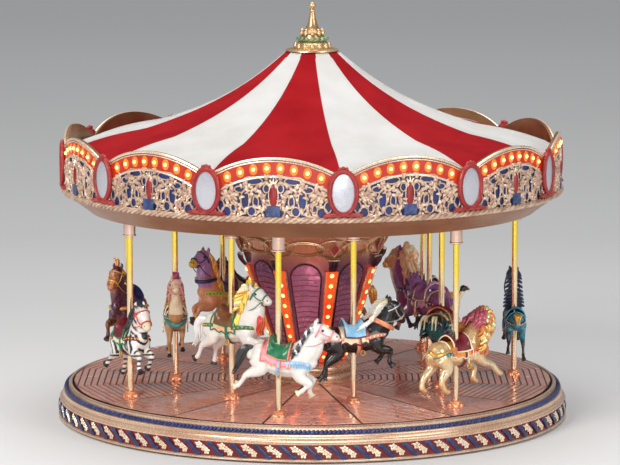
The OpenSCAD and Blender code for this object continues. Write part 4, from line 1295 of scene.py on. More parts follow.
class Rider:
    """An animal in its own millimetres: x forwards, y inwards, z up, from the middle of its back's pole."""

    def __init__(self, torso):
        self.torso = np.array(torso, float)
        self.hide = Shape()
        self.hide.take(limb([[x, 0, z, w, t] for x, z, w, t in torso], 26))
        self.hair = Shape()
        self.tack = Shape()
        self.colours = []
        self.hair_colours = []

    def flesh(self, rows, count=14):
        """Adds a limb to the hide."""
        self.hide.take(limb(rows, count))

    def stud(self, colour, *size, **more):
        """Adds a ball to the tack."""
        self.tack.add(ball(*size, **more), self.mat(colour))

    def trim(self, colour, *run, **more):
        """Adds a tube to the tack."""
        self.tack.add(tube(*run, **more), self.mat(colour))

    def mat(self, colour):
        """Material number of a colour on the tack."""
        if colour not in self.colours:
            self.colours.append(colour)
        return self.colours.index(colour)

    def hair_mat(self, colour):
        """Material number of a colour in the hair."""
        if colour not in self.hair_colours:
            self.hair_colours.append(colour)
        return self.hair_colours.index(colour)

    def girth(self, x):
        """(middle height, half width, half height) of the barrel at x."""
        t = self.torso
        return [np.interp(x, t[:, 0], t[:, k]) for k in (1, 2, 3)]

    def shell(self, x0, x1, reach, lift, thick, colour, cols=15, rows=25, hem=0.0):
        """Cover laid over the back from x0 to x1, down to reach degrees on both sides."""
        xs = np.linspace(x0, x1, cols)
        f = np.linspace(-1, 1, rows)
        layers = []
        for extra in (0.0, thick):
            pts = []
            for x in xs:
                mid, w, h = self.girth(x)
                for e in f:
                    drop = reach * (1 + hem * math.cos((x - x0) / (x1 - x0) * 6 * math.pi))
                    a = math.radians(e * drop)
                    k = lift(x, e) + extra
                    pts.append([x, (w + k) * math.sin(a), mid + (h + k) * math.cos(a)])
            layers.append(pts)
        p = np.array(layers[0] + layers[1])
        n = cols * rows
        faces = grid_faces(cols, rows) + [[i + n for i in q] for q in grid_faces(cols, rows)]
        edge = [i * rows for i in range(cols)] + [(cols - 1) * rows + j for j in range(1, rows)]
        edge += [i * rows + rows - 1 for i in range(cols - 2, -1, -1)] + [j for j in range(rows - 2, 0, -1)]
        faces += [[a, b, b + n, a + n] for a, b in zip(edge, edge[1:] + edge[:1])]
        self.tack.add((p, faces), self.mat(colour))
        return p[[i + n for i in edge]]

    def strap(self, path, width, colour, thick=0.38, count=16, up=(0, 1, 0)):
        """Flat strap along a path, as wide as given."""
        q = spline(path, count)
        self.trim(colour, q, thick, width / 2, 8, up)

    def hoop(self, centre, along, across, depth, width, colour, thick=0.45):
        """Band round a neck, head or leg at a centre, square to the direction along."""
        d = np.array([along[0], 0, along[1]], float)
        d /= np.linalg.norm(d)
        n = np.array([-d[2], 0, d[0]])
        a = np.linspace(0, 2 * math.pi, 24, endpoint=False)
        c = np.array([centre[0], 0, centre[1]], float)
        path = c + np.outer(np.cos(a) * depth, n) + np.outer(np.sin(a) * across, [0, 1, 0])
        self.trim(colour, path, thick, width / 2, 8, d, closed=True)

    def saddle(self, seat, blanket, trim, girth, x0=-8.0, x1=7.0, tall=1.0):
        """Blanket with a trimmed hem, saddle with cantle and pommel, girth and stirrups."""
        hem = self.shell(x0 - 3.2, x1 + 1.6, 98, lambda x, e: 0.45, 0.45, blanket, hem=0.05)
        self.trim(trim, hem, 0.55, 0.55, 6, (1, 0.2, 0.3), closed=True)
        span = x1 - x0

        def seat_lift(x, e):
            top = max(0.0, 1 - abs(e) * 1.35)
            back = 4.6 * tall * math.exp(-(((x - x0 - 1.2) / (0.13 * span)) ** 2))
            front = 3.2 * tall * math.exp(-(((x - x1 + 1.0) / (0.12 * span)) ** 2))
            return 1.0 + 0.8 * math.cos(e * 1.4) + (back + front) * top**0.6

        rim = self.shell(x0, x1, 72, seat_lift, 0.7, seat, cols=21, rows=21)
        self.trim(trim, rim, 0.5, 0.5, 6, (1, 0.2, 0.3), closed=True)
        mid, w, h = self.girth(1.5)
        a = np.linspace(0, 2 * math.pi, 32, endpoint=False)
        loop = np.column_stack([np.full(32, 1.5), (w + 0.6) * np.sin(a), mid + (h + 0.6) * np.cos(a)])
        self.trim(girth, loop, 0.45, 1.3, 8, (1, 0, 0), closed=True)
        for side in (-1, 1):
            y = side * (w + 1.4)
            self.strap([
                [2.6, y * 0.92, mid + 3.5], [2.9, y, mid - 1.5], [3.2, y, mid - 5.6]
            ], 1.3, trim, 0.35, 8)
            ring = np.column_stack([
                3.2 + 1.5 * np.cos(a[::2]), np.full(16, y), mid - 7.4 + 1.7 * np.sin(a[::2])
            ])
            self.trim("gold", ring, 0.38, 0.5, 6, (0, 1, 0), closed=True)

    def harness(self, colour, trim, fringe=None, front=None, back=None):
        """Breast strap and breeching, each with a row of studs and perhaps a fringe."""
        for end, x_from in ((front, 6.0), (back, -9.0)):
            if end is None:
                continue
            x, z = end
            mid, w, h = self.girth(x_from)
            mid2, w2, _ = self.girth((x_from + x) / 2)
            pts = [
                [x_from, -(w + 0.7), mid + 1.6], [(x_from + x) / 2, -(w2 + 0.9), (mid2 + z) / 2 + 1.0],
                [x * 0.93, -w2 * 0.62, z + 0.3], [x, 0, z], [x * 0.93, w2 * 0.62, z + 0.3],
                [(x_from + x) / 2, w2 + 0.9, (mid2 + z) / 2 + 1.0], [x_from, w + 0.7, mid + 1.6]
            ]
            q = spline(pts, 34)
            self.trim(colour, q, 0.5, 1.3, 8)
            for i in range(2, 32, 2):
                self.stud(trim, q[i] * [1.012, 1.05, 1], (0.62, 0.62, 0.62), 7, 5)
            if fringe:
                for i in range(1, 33):
                    a = q[i] * [1.01, 1.03, 1]
                    tassel = tube([a, a - [0, 0, 1.9], a - [0, 0, 3.2]], [0.42, 0.5, 0.3], None, 5, (1, 0, 0))
                    self.tack.add(tassel, self.mat(fringe))

    def lock(self, pts, r0, r1, colour, flat=0.7, count=12):
        """One lock of hair or one feather along a path."""
        q = spline(pts, count)
        f = np.linspace(0, 1, count)
        r = (r0 * (1 - f) + r1 * f) * (0.75 + 0.55 * np.sin(np.pi * np.minimum(f * 1.25, 1)))
        self.hair.add(tube(q, r, r * flat, 7, (0, 1, 0)), self.hair_mat(colour))

    def tail(self, pts, colour, thick=1.7, locks=7, seed=1):
        """Bunch of wavy locks along a path."""
        rng = np.random.default_rng(seed)
        base = np.array(pts, float)
        f = np.linspace(0, 1, len(base))[:, None]
        for k in range(locks):
            a = 2 * math.pi * k / locks
            off = np.array([math.cos(a), math.sin(a), 0]) * thick * (
                0.35 + 0.9 * np.sin(np.pi * np.minimum(f * 1.1, 1))
            )
            wave = np.column_stack([rng.normal(0, wide, len(base)) for wide in (0.5, 0.35, 0.5)])
            self.lock(base + off + wave * f, thick * 0.75, 0.35, colour, 0.85, 16)

    def mane(self, crest, colour, fall=8.0, thick=1.5, both=True, seed=2, count=11, tip=None, sweep=0.0):
        """Locks falling from the crest line to the sides."""
        rng = np.random.default_rng(seed)
        line = spline(crest, count)
        for k, p in enumerate(line):
            for side in (-1, 1) if both else (-1,):
                drop = fall * (0.75 + 0.3 * math.sin(math.pi * k / (count - 1))) * rng.uniform(0.85, 1.15)
                w = side * (3.5 + 0.21 * k)
                pts = [
                    p + [0.6, 0, 0.4], p + [-0.6, w * 0.75, -drop * 0.18],
                    p + [-2.0, w * 1.25, -drop * 0.55],
                    p + [-1.2 + rng.normal(0, 0.5), w * 1.35, -drop * 0.85], p + [-2.6, w * 1.3, -drop]
                ]
                back = np.outer((0, 0.3, 0.65, 0.85, 1.0), (-sweep, 0, sweep * 0.45))
                self.lock(np.array(pts) + back, thick, 0.35, tip if tip and k % 3 == 0 else colour)


def shades(
    body, belly=None, legs=None, face=None, face_x=None, rump=None, leg_z=-9.0, muzzle=None, noise=0.0
):
    """Paint function: plain body colour blended to others at the belly, legs, face and rump."""

    def paint(p):
        base = np.array(PAINT[body]) if isinstance(body, str) else np.array(body)
        c = np.tile(base, (len(p), 1))

        def blend(colour, amount):
            nonlocal c
            a = np.clip(amount, 0, 1)[:, None]
            c = c * (1 - a) + np.array(PAINT[colour]) * a

        if belly:
            blend(belly, (-p[:, 2] - 2) / 6)
        if rump:
            blend(rump, (-p[:, 0] - 9) / 5)
        if legs:
            blend(legs, (leg_z - p[:, 2]) / 4)
        if face:
            blend(face, (p[:, 0] - face_x) / 3 * (p[:, 2] > 6))
        if muzzle:
            blend(muzzle[0], (p[:, 0] - muzzle[1]) / 1.5)
        if noise:
            wave = np.sin(p[:, 0] * 1.9 + np.sin(p[:, 2] * 1.3) * 2) * np.sin(p[:, 2] * 1.7 + p[:, 1])
            c = c * (1 + noise * wave[:, None])
        return np.clip(c, 0, 1)

    return paint


def stripes(p):
    """White coat with black bars that run round the barrel, neck and legs."""
    bend = 1.1 * np.sin(p[:, 2] * 0.35) + 0.5 * np.sin(p[:, 1] * 0.6)
    barrel = np.sin(2 * math.pi * (p[:, 0] + bend) / 4.4)
    neck = np.sin(2 * math.pi * (p[:, 0] * 0.55 + p[:, 2] * 0.8) / 4.0)
    legs = np.sin(2 * math.pi * p[:, 2] / 3.4)
    value = np.where(p[:, 2] < -8, legs, np.where((p[:, 0] > 13) & (p[:, 2] > 5), neck, barrel))
    dark = np.clip((value - 0.05) * 3, 0, 1)[:, None]
    muzzle = np.clip((p[:, 0] - 26.5) / 2, 0, 1)[:, None]
    dark = dark * (1 - np.clip((p[:, 0] - 19) / 2, 0, 0.85) * (p[:, 2] > 6))[:, None]
    c = np.array(PAINT["white"]) * (1 - dark) + np.array(PAINT["black"]) * dark
    return c * (1 - muzzle) + np.array(PAINT["cream"]) * muzzle


def horse(
    poll=(27, 23), nose=(38, 14), chest=19.0, hip=-18.0, girth=9.0, fore=("tuck", "fold"),
    hind=("back", "push"), mane="black", tail=None, tail_colour=None, seat="maroon", blanket="cream",
    trim="gold", strap="maroon", bridle="red", studs="gold", fringe=None, thick=1.0, tall=1.0, plume=None,
    plume_at="head", hooves="black", fall=8.0, collar=None, tip=None, seed=1, breech=True, forelock=True,
    neck_thick=1.0, sweep=0.0, head_size=1.18, bushy=False
):
    """A galloping carousel horse with mane, tail, saddle, bridle and harness."""
    g = girth
    r = Rider([
        (hip - 4.5, 1.6, g * 0.45, g * 0.5), (hip, 2.0, g * 0.88, g * 0.97),
        (hip + 8, 1.0, g * 0.88, g * 0.94), (0, -0.6, g * 0.95, g), (chest - 8, 0.0, g * 0.9, g),
        (chest - 1, 1.8, g * 0.76, g * 0.92), (chest + 3.5, 3.0, g * 0.45, g * 0.55)
    ])
    px, pz = poll
    nx, nz = nose
    n = neck_thick
    neck = [
        [chest - 5, 0, 3.5, 6.2 * n, 9.4 * n],
        [chest + (px - chest) * 0.35, 0, 3.5 + (pz - 3.5) * 0.42, 5.2 * n, 8.0 * n],
        [chest + (px - chest) * 0.66, 0, 3.5 + (pz - 3.5) * 0.72, 4.3 * n, 6.6 * n],
        [px - 0.6, 0, pz, 3.8, 5.2]
    ]
    r.flesh(neck, 18)
    dx, dz = nx - px, nz - pz
    b = head_size
    head = [
        [px - 0.8, 0, pz + 0.4, 3.7 * b, 4.4 * b], [px + dx * 0.25, 0, pz + dz * 0.2, 4.0 * b, 5.0 * b],
        [px + dx * 0.55, 0, pz + dz * 0.52, 3.1 * b, 3.7 * b],
        [px + dx * 0.85, 0, pz + dz * 0.86, 2.7 * b, 3.0 * b], [nx, 0, nz, 2.3 * b, 2.4 * b]
    ]
    r.flesh(head, 16)
    for side in (-1, 1):
        r.flesh([
            [px - 1.0, side * 2.2 * b, pz + 3.4 * b, 1.2, 1.5],
            [px - 1.2, side * 2.7 * b, pz + 6.0, 1.1, 1.3], [px - 0.6, side * 2.3, pz + 7.8, 0.3, 0.35]
        ], 7)
        r.stud("black", (px + dx * 0.33, side * 3.7 * b, pz + dz * 0.2 + 1.5 * b), (0.95, 0.6, 0.95), 8, 5)
        r.stud("maroon", (nx + 0.6 * b, side * 1.9 * b, nz + 1.0 * b), (0.55, 0.4, 0.55), 7, 5)
    for root, poses, names, is_hind in (
        ((chest - 3.5, -1.5, 4.6), FORE, fore, False), ((hip + 1.5, 0.0, 4.7), HIND, hind, True)
    ):
        for side, name in zip((-1, 1), names):
            part, hoof = leg(root, poses[name], side, thick, is_hind)
            r.hide.take(part)
            r.tack.add(hoof, r.mat(hooves))
    crest = [
        [px - 1.5, 0, pz + 3.6], [px - 4.6, 0, pz + 0.8],
        [chest + (px - chest) * 0.42 - 5.4, 0, 3.5 + (pz - 3.5) * 0.62], [chest - 6.5, 0, 10.5]
    ]
    r.mane(crest, mane, fall, 1.6, True, seed, 12, tip, sweep)
    if bushy:
        rng = np.random.default_rng(seed + 40)
        for k in range(30):
            a = 2.4 * k
            f = k / 29
            base = np.array([px - 3.0 - f * (px - chest + 1), 0, pz + 3.0 - f * (pz - 11)])
            out = np.array([-0.55 + 0.3 * math.cos(a), math.sin(a), 0.65 * math.cos(a) + 0.25])
            size = rng.uniform(4.5, 7.0)
            r.lock(
                [
                    base + out * 2.0, base + out * (2.0 + size * 0.5) + [0, 0, 0.8],
                    base + out * (2.0 + size) - [1.0, 0, 1.4],
                    base + out * (2.0 + size * 0.9) - [2.2, 0, 4.0]
                ],
                1.9, 0.5, (mane, tip or mane, "cream")[k % 3]
            )
    if forelock:
        for side in (-0.7, 0.7):
            r.lock([
                [px - 0.6, side * 0.6, pz + 3.8], [px + 2.2, side, pz + 4.6],
                [px + 4.4, side * 1.6, pz + 3.0]
            ], 1.4, 0.4, mane)
    path = tail or [
        [hip - 4.6, 0, 5.0], [hip - 9, 0, 5.5], [hip - 12, 0, 0], [hip - 12.5, 0, -8], [hip - 16, 0, -13]
    ]
    r.tail(path, tail_colour or mane, 1.9, 8, seed)
    r.saddle(seat, blanket, trim, strap, tall=tall)
    r.harness(strap, studs, fringe, front=(chest + 4.6, 1.6), back=(hip - 6.2, 1.4) if breech else None)
    d = (dx, dz)
    r.hoop((px + dx * 0.78, pz + dz * 0.79), d, 3.2 * b, 3.3 * b, 1.1, bridle)
    r.hoop((px + dx * 0.1, pz + dz * 0.1), (dx * 0.9, dz * 1.6), 4.4 * b, 5.2 * b, 1.1, bridle)
    for side in (-1, 1):
        r.strap([
            [px + dx * 0.12, side * 4.3 * b, pz + 1.2], [px + dx * 0.45, side * 3.9 * b, pz + dz * 0.5],
            [px + dx * 0.78, side * 3.2 * b, pz + dz * 0.8]
        ], 1.0, bridle, 0.35, 8)
        r.strap([
            [px + dx * 0.78, side * 3.5 * b, pz + dz * 0.86],
            [(px + dx + 12) / 2, side * 5.6, (pz + dz * 0.8 + 9) / 2], [8.5, side * 3.4, 12.0]
        ], 0.9, bridle, 0.32, 14)
        r.stud("gold", (px + dx * 0.78, side * 3.5 * b, pz + dz * 0.84), (0.8, 0.5, 0.8), 8, 5)
    if collar:
        r.hoop(
            (chest + (px - chest) * 0.3 - 0.6, 3.5 + (pz - 3.5) * 0.34), (px - chest, pz - 3.5), 6.4 * n,
            9.2 * n, 2.6, collar
        )
        r.hoop(
            (chest + (px - chest) * 0.3 + 0.2, 3.5 + (pz - 3.5) * 0.42), (px - chest, pz - 3.5), 6.3 * n,
            8.8 * n, 0.9, "gold"
        )
    if plume:
        origin = np.array([px - 0.4, 0, pz + 4.0]) if plume_at == "head" else np.array([chest + 5.0, 0, 4.5])
        for k in range(6):
            lean = (k - 2.5) * 0.9
            grow = [
                [0, 0, 0], [0.6 + lean * 0.4, lean * 0.5, 3.4], [1.0 + lean, lean * 0.8, 6.0],
                [3.0 + lean * 0.5, lean, 6.8]
            ]
            if plume_at != "head":
                grow = [
                    [-2.5, lean * 0.6, 9.5], [1.8, lean * 1.0, 6.0], [3.0, lean * 1.5, 0.5],
                    [1.4, lean * 1.6, -5.0], [2.6, lean * 1.2, -8.0]
                ]
            r.lock(origin + np.array(grow), 1.9, 0.6, plume if k % 2 else "red")
    return r


def lion():
    """A striding lion with a ruff of locks in rings."""
    r = Rider([
        (-23.5, 1.5, 4.2, 4.6), (-18, 2.0, 7.6, 8.6), (-9, 0.6, 7.4, 7.6), (0, 0.0, 8.2, 8.4),
        (9, 0.6, 8.4, 9.2), (16, 2.4, 7.6, 9.2), (21, 3.8, 4.8, 6.0)
    ])
    r.flesh([[14, 0, 6, 7.0, 8.6], [19, 0, 13, 6.6, 7.6], [23, 0, 18, 5.4, 6.0]], 12)
    r.flesh([
        [23, 0, 19, 5.0, 5.4], [27, 0, 18.5, 4.8, 5.2], [31.5, 0, 16.0, 3.0, 3.2], [34.2, 0, 15.2, 2.5, 2.6]
    ], 14)
    r.flesh([[29.5, 0, 13.4, 2.2, 1.6], [33.4, 0, 12.4, 1.8, 1.4]], 6)
    for side in (-1, 1):
        r.flesh([[24, side * 3.8, 23, 1.5, 0.9], [23.6, side * 4.5, 25.4, 0.9, 0.6]], 5)
        r.stud("black", (29.4, side * 3.0, 19.2), (0.7, 0.6, 0.8), 8, 5)
        r.flesh([[30.5, side * 1.5, 15.4, 1.8, 1.7], [33.6, side * 1.4, 14.8, 1.5, 1.4]], 6)
    r.stud("maroon", (35.8, 0, 16.4), (1.0, 1.2, 0.8), 9, 6)
    legs = (
        [
            [14.5, -5.4, -1, 3.8, 5.4], [20, -6, -6.5, 2.9, 3.4], [28, -6.2, -9.5, 2.3, 2.6],
            [33.6, -6.2, -15, 2.1, 2.3], [36.4, -6.2, -16.6, 2.5, 1.9]
        ],
        [
            [14.5, 5.4, -1, 3.8, 5.4], [17.5, 6, -8, 2.9, 3.4], [23.5, 6.2, -13, 2.3, 2.5],
            [22.6, 6.2, -19.5, 2.1, 2.2], [25.4, 6.2, -22.4, 2.6, 1.8]
        ],
        [
            [-16.5, -4.8, 0, 4.6, 7.0], [-13.5, -5.8, -8, 3.5, 4.6], [-19, -6, -15.5, 2.1, 2.4],
            [-16.5, -6, -21.5, 2.0, 2.1], [-13.4, -6, -23.4, 2.6, 1.8]
        ],
        [
            [-16.5, 4.8, 0, 4.6, 7.0], [-16.5, 5.8, -8, 3.5, 4.6], [-24, 6, -14.5, 2.1, 2.4],
            [-26, 6, -20.5, 2.0, 2.1], [-23.6, 6, -23.0, 2.6, 1.8]
        ]
    )
    for rows in legs:
        r.flesh(rows, 20)
    rng = np.random.default_rng(7)
    for ring in range(5):
        c = np.array([24.5 - ring * 3.1, 0, 20.0 - ring * 2.2])
        size = 8.0 + ring * 1.1
        for k in range(19):
            a = 2 * math.pi * (k + 0.5 * (ring % 2)) / 19 + rng.uniform(-0.08, 0.08)
            out = np.array([0.35, math.sin(a), math.cos(a)])
            start = c + out * size * 0.8
            back = np.array([-3.6, 0, -2.6]) * rng.uniform(0.8, 1.3)
            swirl = np.cross(out, [1, 0, 0]) * rng.uniform(-1.6, 1.6)
            pts = [
                start, start + out * 2.8 + back * 0.2 + swirl, start + out * 3.4 + back * 0.8 - swirl * 0.6,
                start + out * 2.2 + back * 1.5
            ]
            tone = "ember" if (k + ring) % 4 == 0 else ("gold" if k % 2 else "wheat")
            if ring > 0 and out[2] > 0.7:
                tone = "ruby"
            r.lock(pts, 2.2, 0.6, tone, 0.85, 10)
    for k in range(9):
        y = (k - 4) * 1.5
        r.lock([
            [21, y, 6], [24.0, y, 1], [22, y * 0.9, -4], [18, y * 0.8, -8]
        ], 1.8, 0.5, "gold" if k % 2 else "ember")
    r.lock([
        [-24, 0, 3.5], [-27.5, -4, 4.5], [-25.5, -8.6, 3.0], [-19, -10.0, 4.6], [-12, -9.8, 5.6]
    ], 1.3, 1.0, "gold", 1.0, 18)
    for k in range(6):
        r.lock([
            [-13.0, -9.9, 5.4], [-10.5, -10.2, 4.6 + (k - 2.5) * 0.7], [-8.0, -10.0, 3.8 + (k - 2.5) * 1.0]
        ], 1.2, 0.4, "ember")
    r.saddle("maroon", "orange", "cream", "maroon", x0=-9.0, x1=6.0)
    r.harness("teal", "sky", None, front=None, back=(-25.4, 1.0))
    r.harness("red", "gold", "cream", front=(23.0, -1.5), back=None)
    return r, shades("wheat", belly="cream", legs="wheat", face="cream", face_x=30.0, leg_z=-12, noise=0.12)


def goat():
    """A goat: the horse's build, slighter, with ribbed horns and a beard."""
    r = horse(
        poll=(15, 31), nose=(24.5, 29.5), chest=13.0, hip=-12.5, girth=7.0, fore=("fold", "tuck"),
        hind=("back", "under"), mane="slate",
        tail=[[-17.5, 0, 5], [-20.5, 0, 9.5], [-22.5, 0, 8], [-23.5, 0, 4]], tail_colour="gold",
        seat="slate", blanket="navy", trim="aqua", strap="navy", bridle="slate", thick=0.8, forelock=False,
        fall=2.2, seed=5, neck_thick=0.72, tall=0.5, head_size=0.95
    )
    for side in (-1, 1):
        horn = spline([
            [13.5, side * 1.6, 34.0], [11.5, side * 2.4, 37.0], [8.5, side * 2.8, 38.0],
            [6.0, side * 2.8, 36.5]
        ], 22)
        ribs = np.linspace(1.3, 0.4, 22) * (1 + 0.14 * np.cos(np.arange(22) * math.pi))
        r.hair.add(tube(horn, ribs, None, 9, (0, 1, 0)), r.hair_mat("slate"))
    for k in range(4):
        r.lock([
            [23.0, (k - 1.5) * 0.7, 27.0], [23.0, (k - 1.5) * 0.8, 23.5], [21.5, (k - 1.5), 20.5]
        ], 0.9, 0.3, "brown")
    return r, shades("slate", rump="aqua", legs="black", noise=0.5)


def ostrich_paint(p):
    """Dark plumage, cream neck and black head."""
    c = shades("slate", rump="teal", legs="tan", leg_z=-10)(p)
    neck = (np.clip((p[:, 2] - 7) / 2, 0, 1) * np.clip((p[:, 0] - 11) / 2, 0, 1) * (p[:, 2] < 23.4))[:, None]
    c = c * (1 - neck) + np.array(PAINT["cream"]) * neck
    beak = np.clip((p[:, 0] - 26.6) / 1.0, 0, 1)[:, None]
    head = (p[:, 2] >= 23.4)[:, None] * (1 - beak)
    c = c * (1 - head) + np.array(PAINT["black"]) * head
    return c * (1 - beak) + np.array(PAINT["gold"]) * beak


def ostrich():
    """A running bird with its neck turned outwards, feathered sides and a plumed tail."""
    r = Rider([
        (-17, 3.0, 4.0, 4.5), (-12, 2.6, 8.0, 8.4), (-4, 1.0, 9.2, 9.6), (4, 0.4, 9.2, 9.4),
        (10, 1.4, 7.0, 7.6), (14, 3.0, 3.8, 4.4)
    ])
    r.flesh([
        [9, 0, 4, 4.4, 5.0], [15, -2.0, 9, 2.9, 3.3], [19, -4.5, 16, 2.2, 2.4], [21.5, -7, 22, 1.9, 2.1],
        [23, -8, 25, 2.3, 2.4]
    ], 22)
    r.flesh([[22.6, -8, 25.4, 2.5, 2.6], [26, -9, 25.0, 1.9, 1.7], [30, -10, 23.6, 1.1, 0.7]], 10)
    for side in (-1, 1):
        r.stud("red", (24.4, -8.4 + side * 2.1, 26.2), (0.7, 0.5, 0.7), 8, 5)
        rows = [
            [2, side * 4.4, -4, 4.2, 5.0], [6.5, side * 4.6, -11, 2.6, 3.0],
            [1.0, side * 4.6, -17, 1.4, 1.5], [5.0, side * 4.6, -25, 1.1, 1.2],
            [9.0, side * 4.6, -26.4, 1.2, 0.8]
        ]
        rows = [[x + (0 if side < 0 else -5), y, z, a, b] for x, y, z, a, b in rows]
        r.flesh(rows, 20)
        for row in range(4):
            for k in range(6):
                x, z = 6 - k * 3.6, 6.4 - row * 3.4
                y = side * (8.6 + 0.5 * math.sin(row))
                r.lock(
                    [[x, y * 0.92, z], [x - 2.4, y * 1.06, z - 0.8], [x - 5.4, y * 1.04, z - 2.6]], 1.7,
                    0.5, ("black", "teal", "slate", "black")[(row + k) % 4], 0.45, 7
                )
    for k in range(11):
        a = (k - 5) * 0.3
        r.lock(
            [
                [-15, math.sin(a) * 4, 5], [-21, math.sin(a) * 7, 10],
                [-26, math.sin(a) * 9.5, 8 + math.cos(a) * 2], [-28, math.sin(a) * 10, 3]
            ],
            2.1, 0.6, "cream" if k in (3, 4, 6, 7) else "black"
        )
    r.saddle("maroon", "cream", "gold", "maroon", x0=-6.5, x1=6.0)
    for k in range(24):
        a = 2.4 * k
        x = 3.0 - k * 0.8
        s = np.array([x, 8.4 * math.sin(a), 1.0 + 8.8 * abs(math.cos(a)) - 1.2])
        r.lock(
            [s, s + [-3.4, 0.8 * math.sin(a), -0.6], s + [-7.0, 1.0 * math.sin(a), -3.0]], 1.9, 0.6,
            ("black", "teal", "slate")[k % 3], 0.5, 7
        )
    return r, ostrich_paint


def llama():
    """A llama: the horse's build with an upright woolly neck and a wide collar."""
    r = horse(
        poll=(18, 27), nose=(26, 25.5), chest=13.0, hip=-13.0, girth=8.2, fore=("down", "tuck"),
        hind=("push", "back"), mane="tan", tail=[[-17, 0, 4], [-20, 0, 5], [-22.5, 0, 1], [-22, 0, -4]],
        tail_colour="cream", seat="purple", blanket="purple", trim="cream", strap="teal", bridle="pink",
        thick=0.88, fall=3.5, forelock=False, seed=8, neck_thick=0.82, plume="purple"
    )
    r.flesh([
        [15.0, 0, 18, 3.8, 4.4], [15.8, 0, 12, 5.2, 5.0], [15.4, 0, 5, 5.8, 5.4], [14.5, 0, 0, 4.6, 4.6]
    ], 14)
    r.strap([
        [5, -8.6, 3.5], [13, -7.4, 0.5], [19.5, -3.6, -1.6], [20.8, 0, -2.2], [19.5, 3.6, -1.6],
        [13, 7.4, 0.5], [5, 8.6, 3.5]
    ], 3.0, "teal", 0.5, 30, (0, 0, 1))
    return r, shades("tan", legs="tan", face="cream", face_x=15.5, noise=0.06)


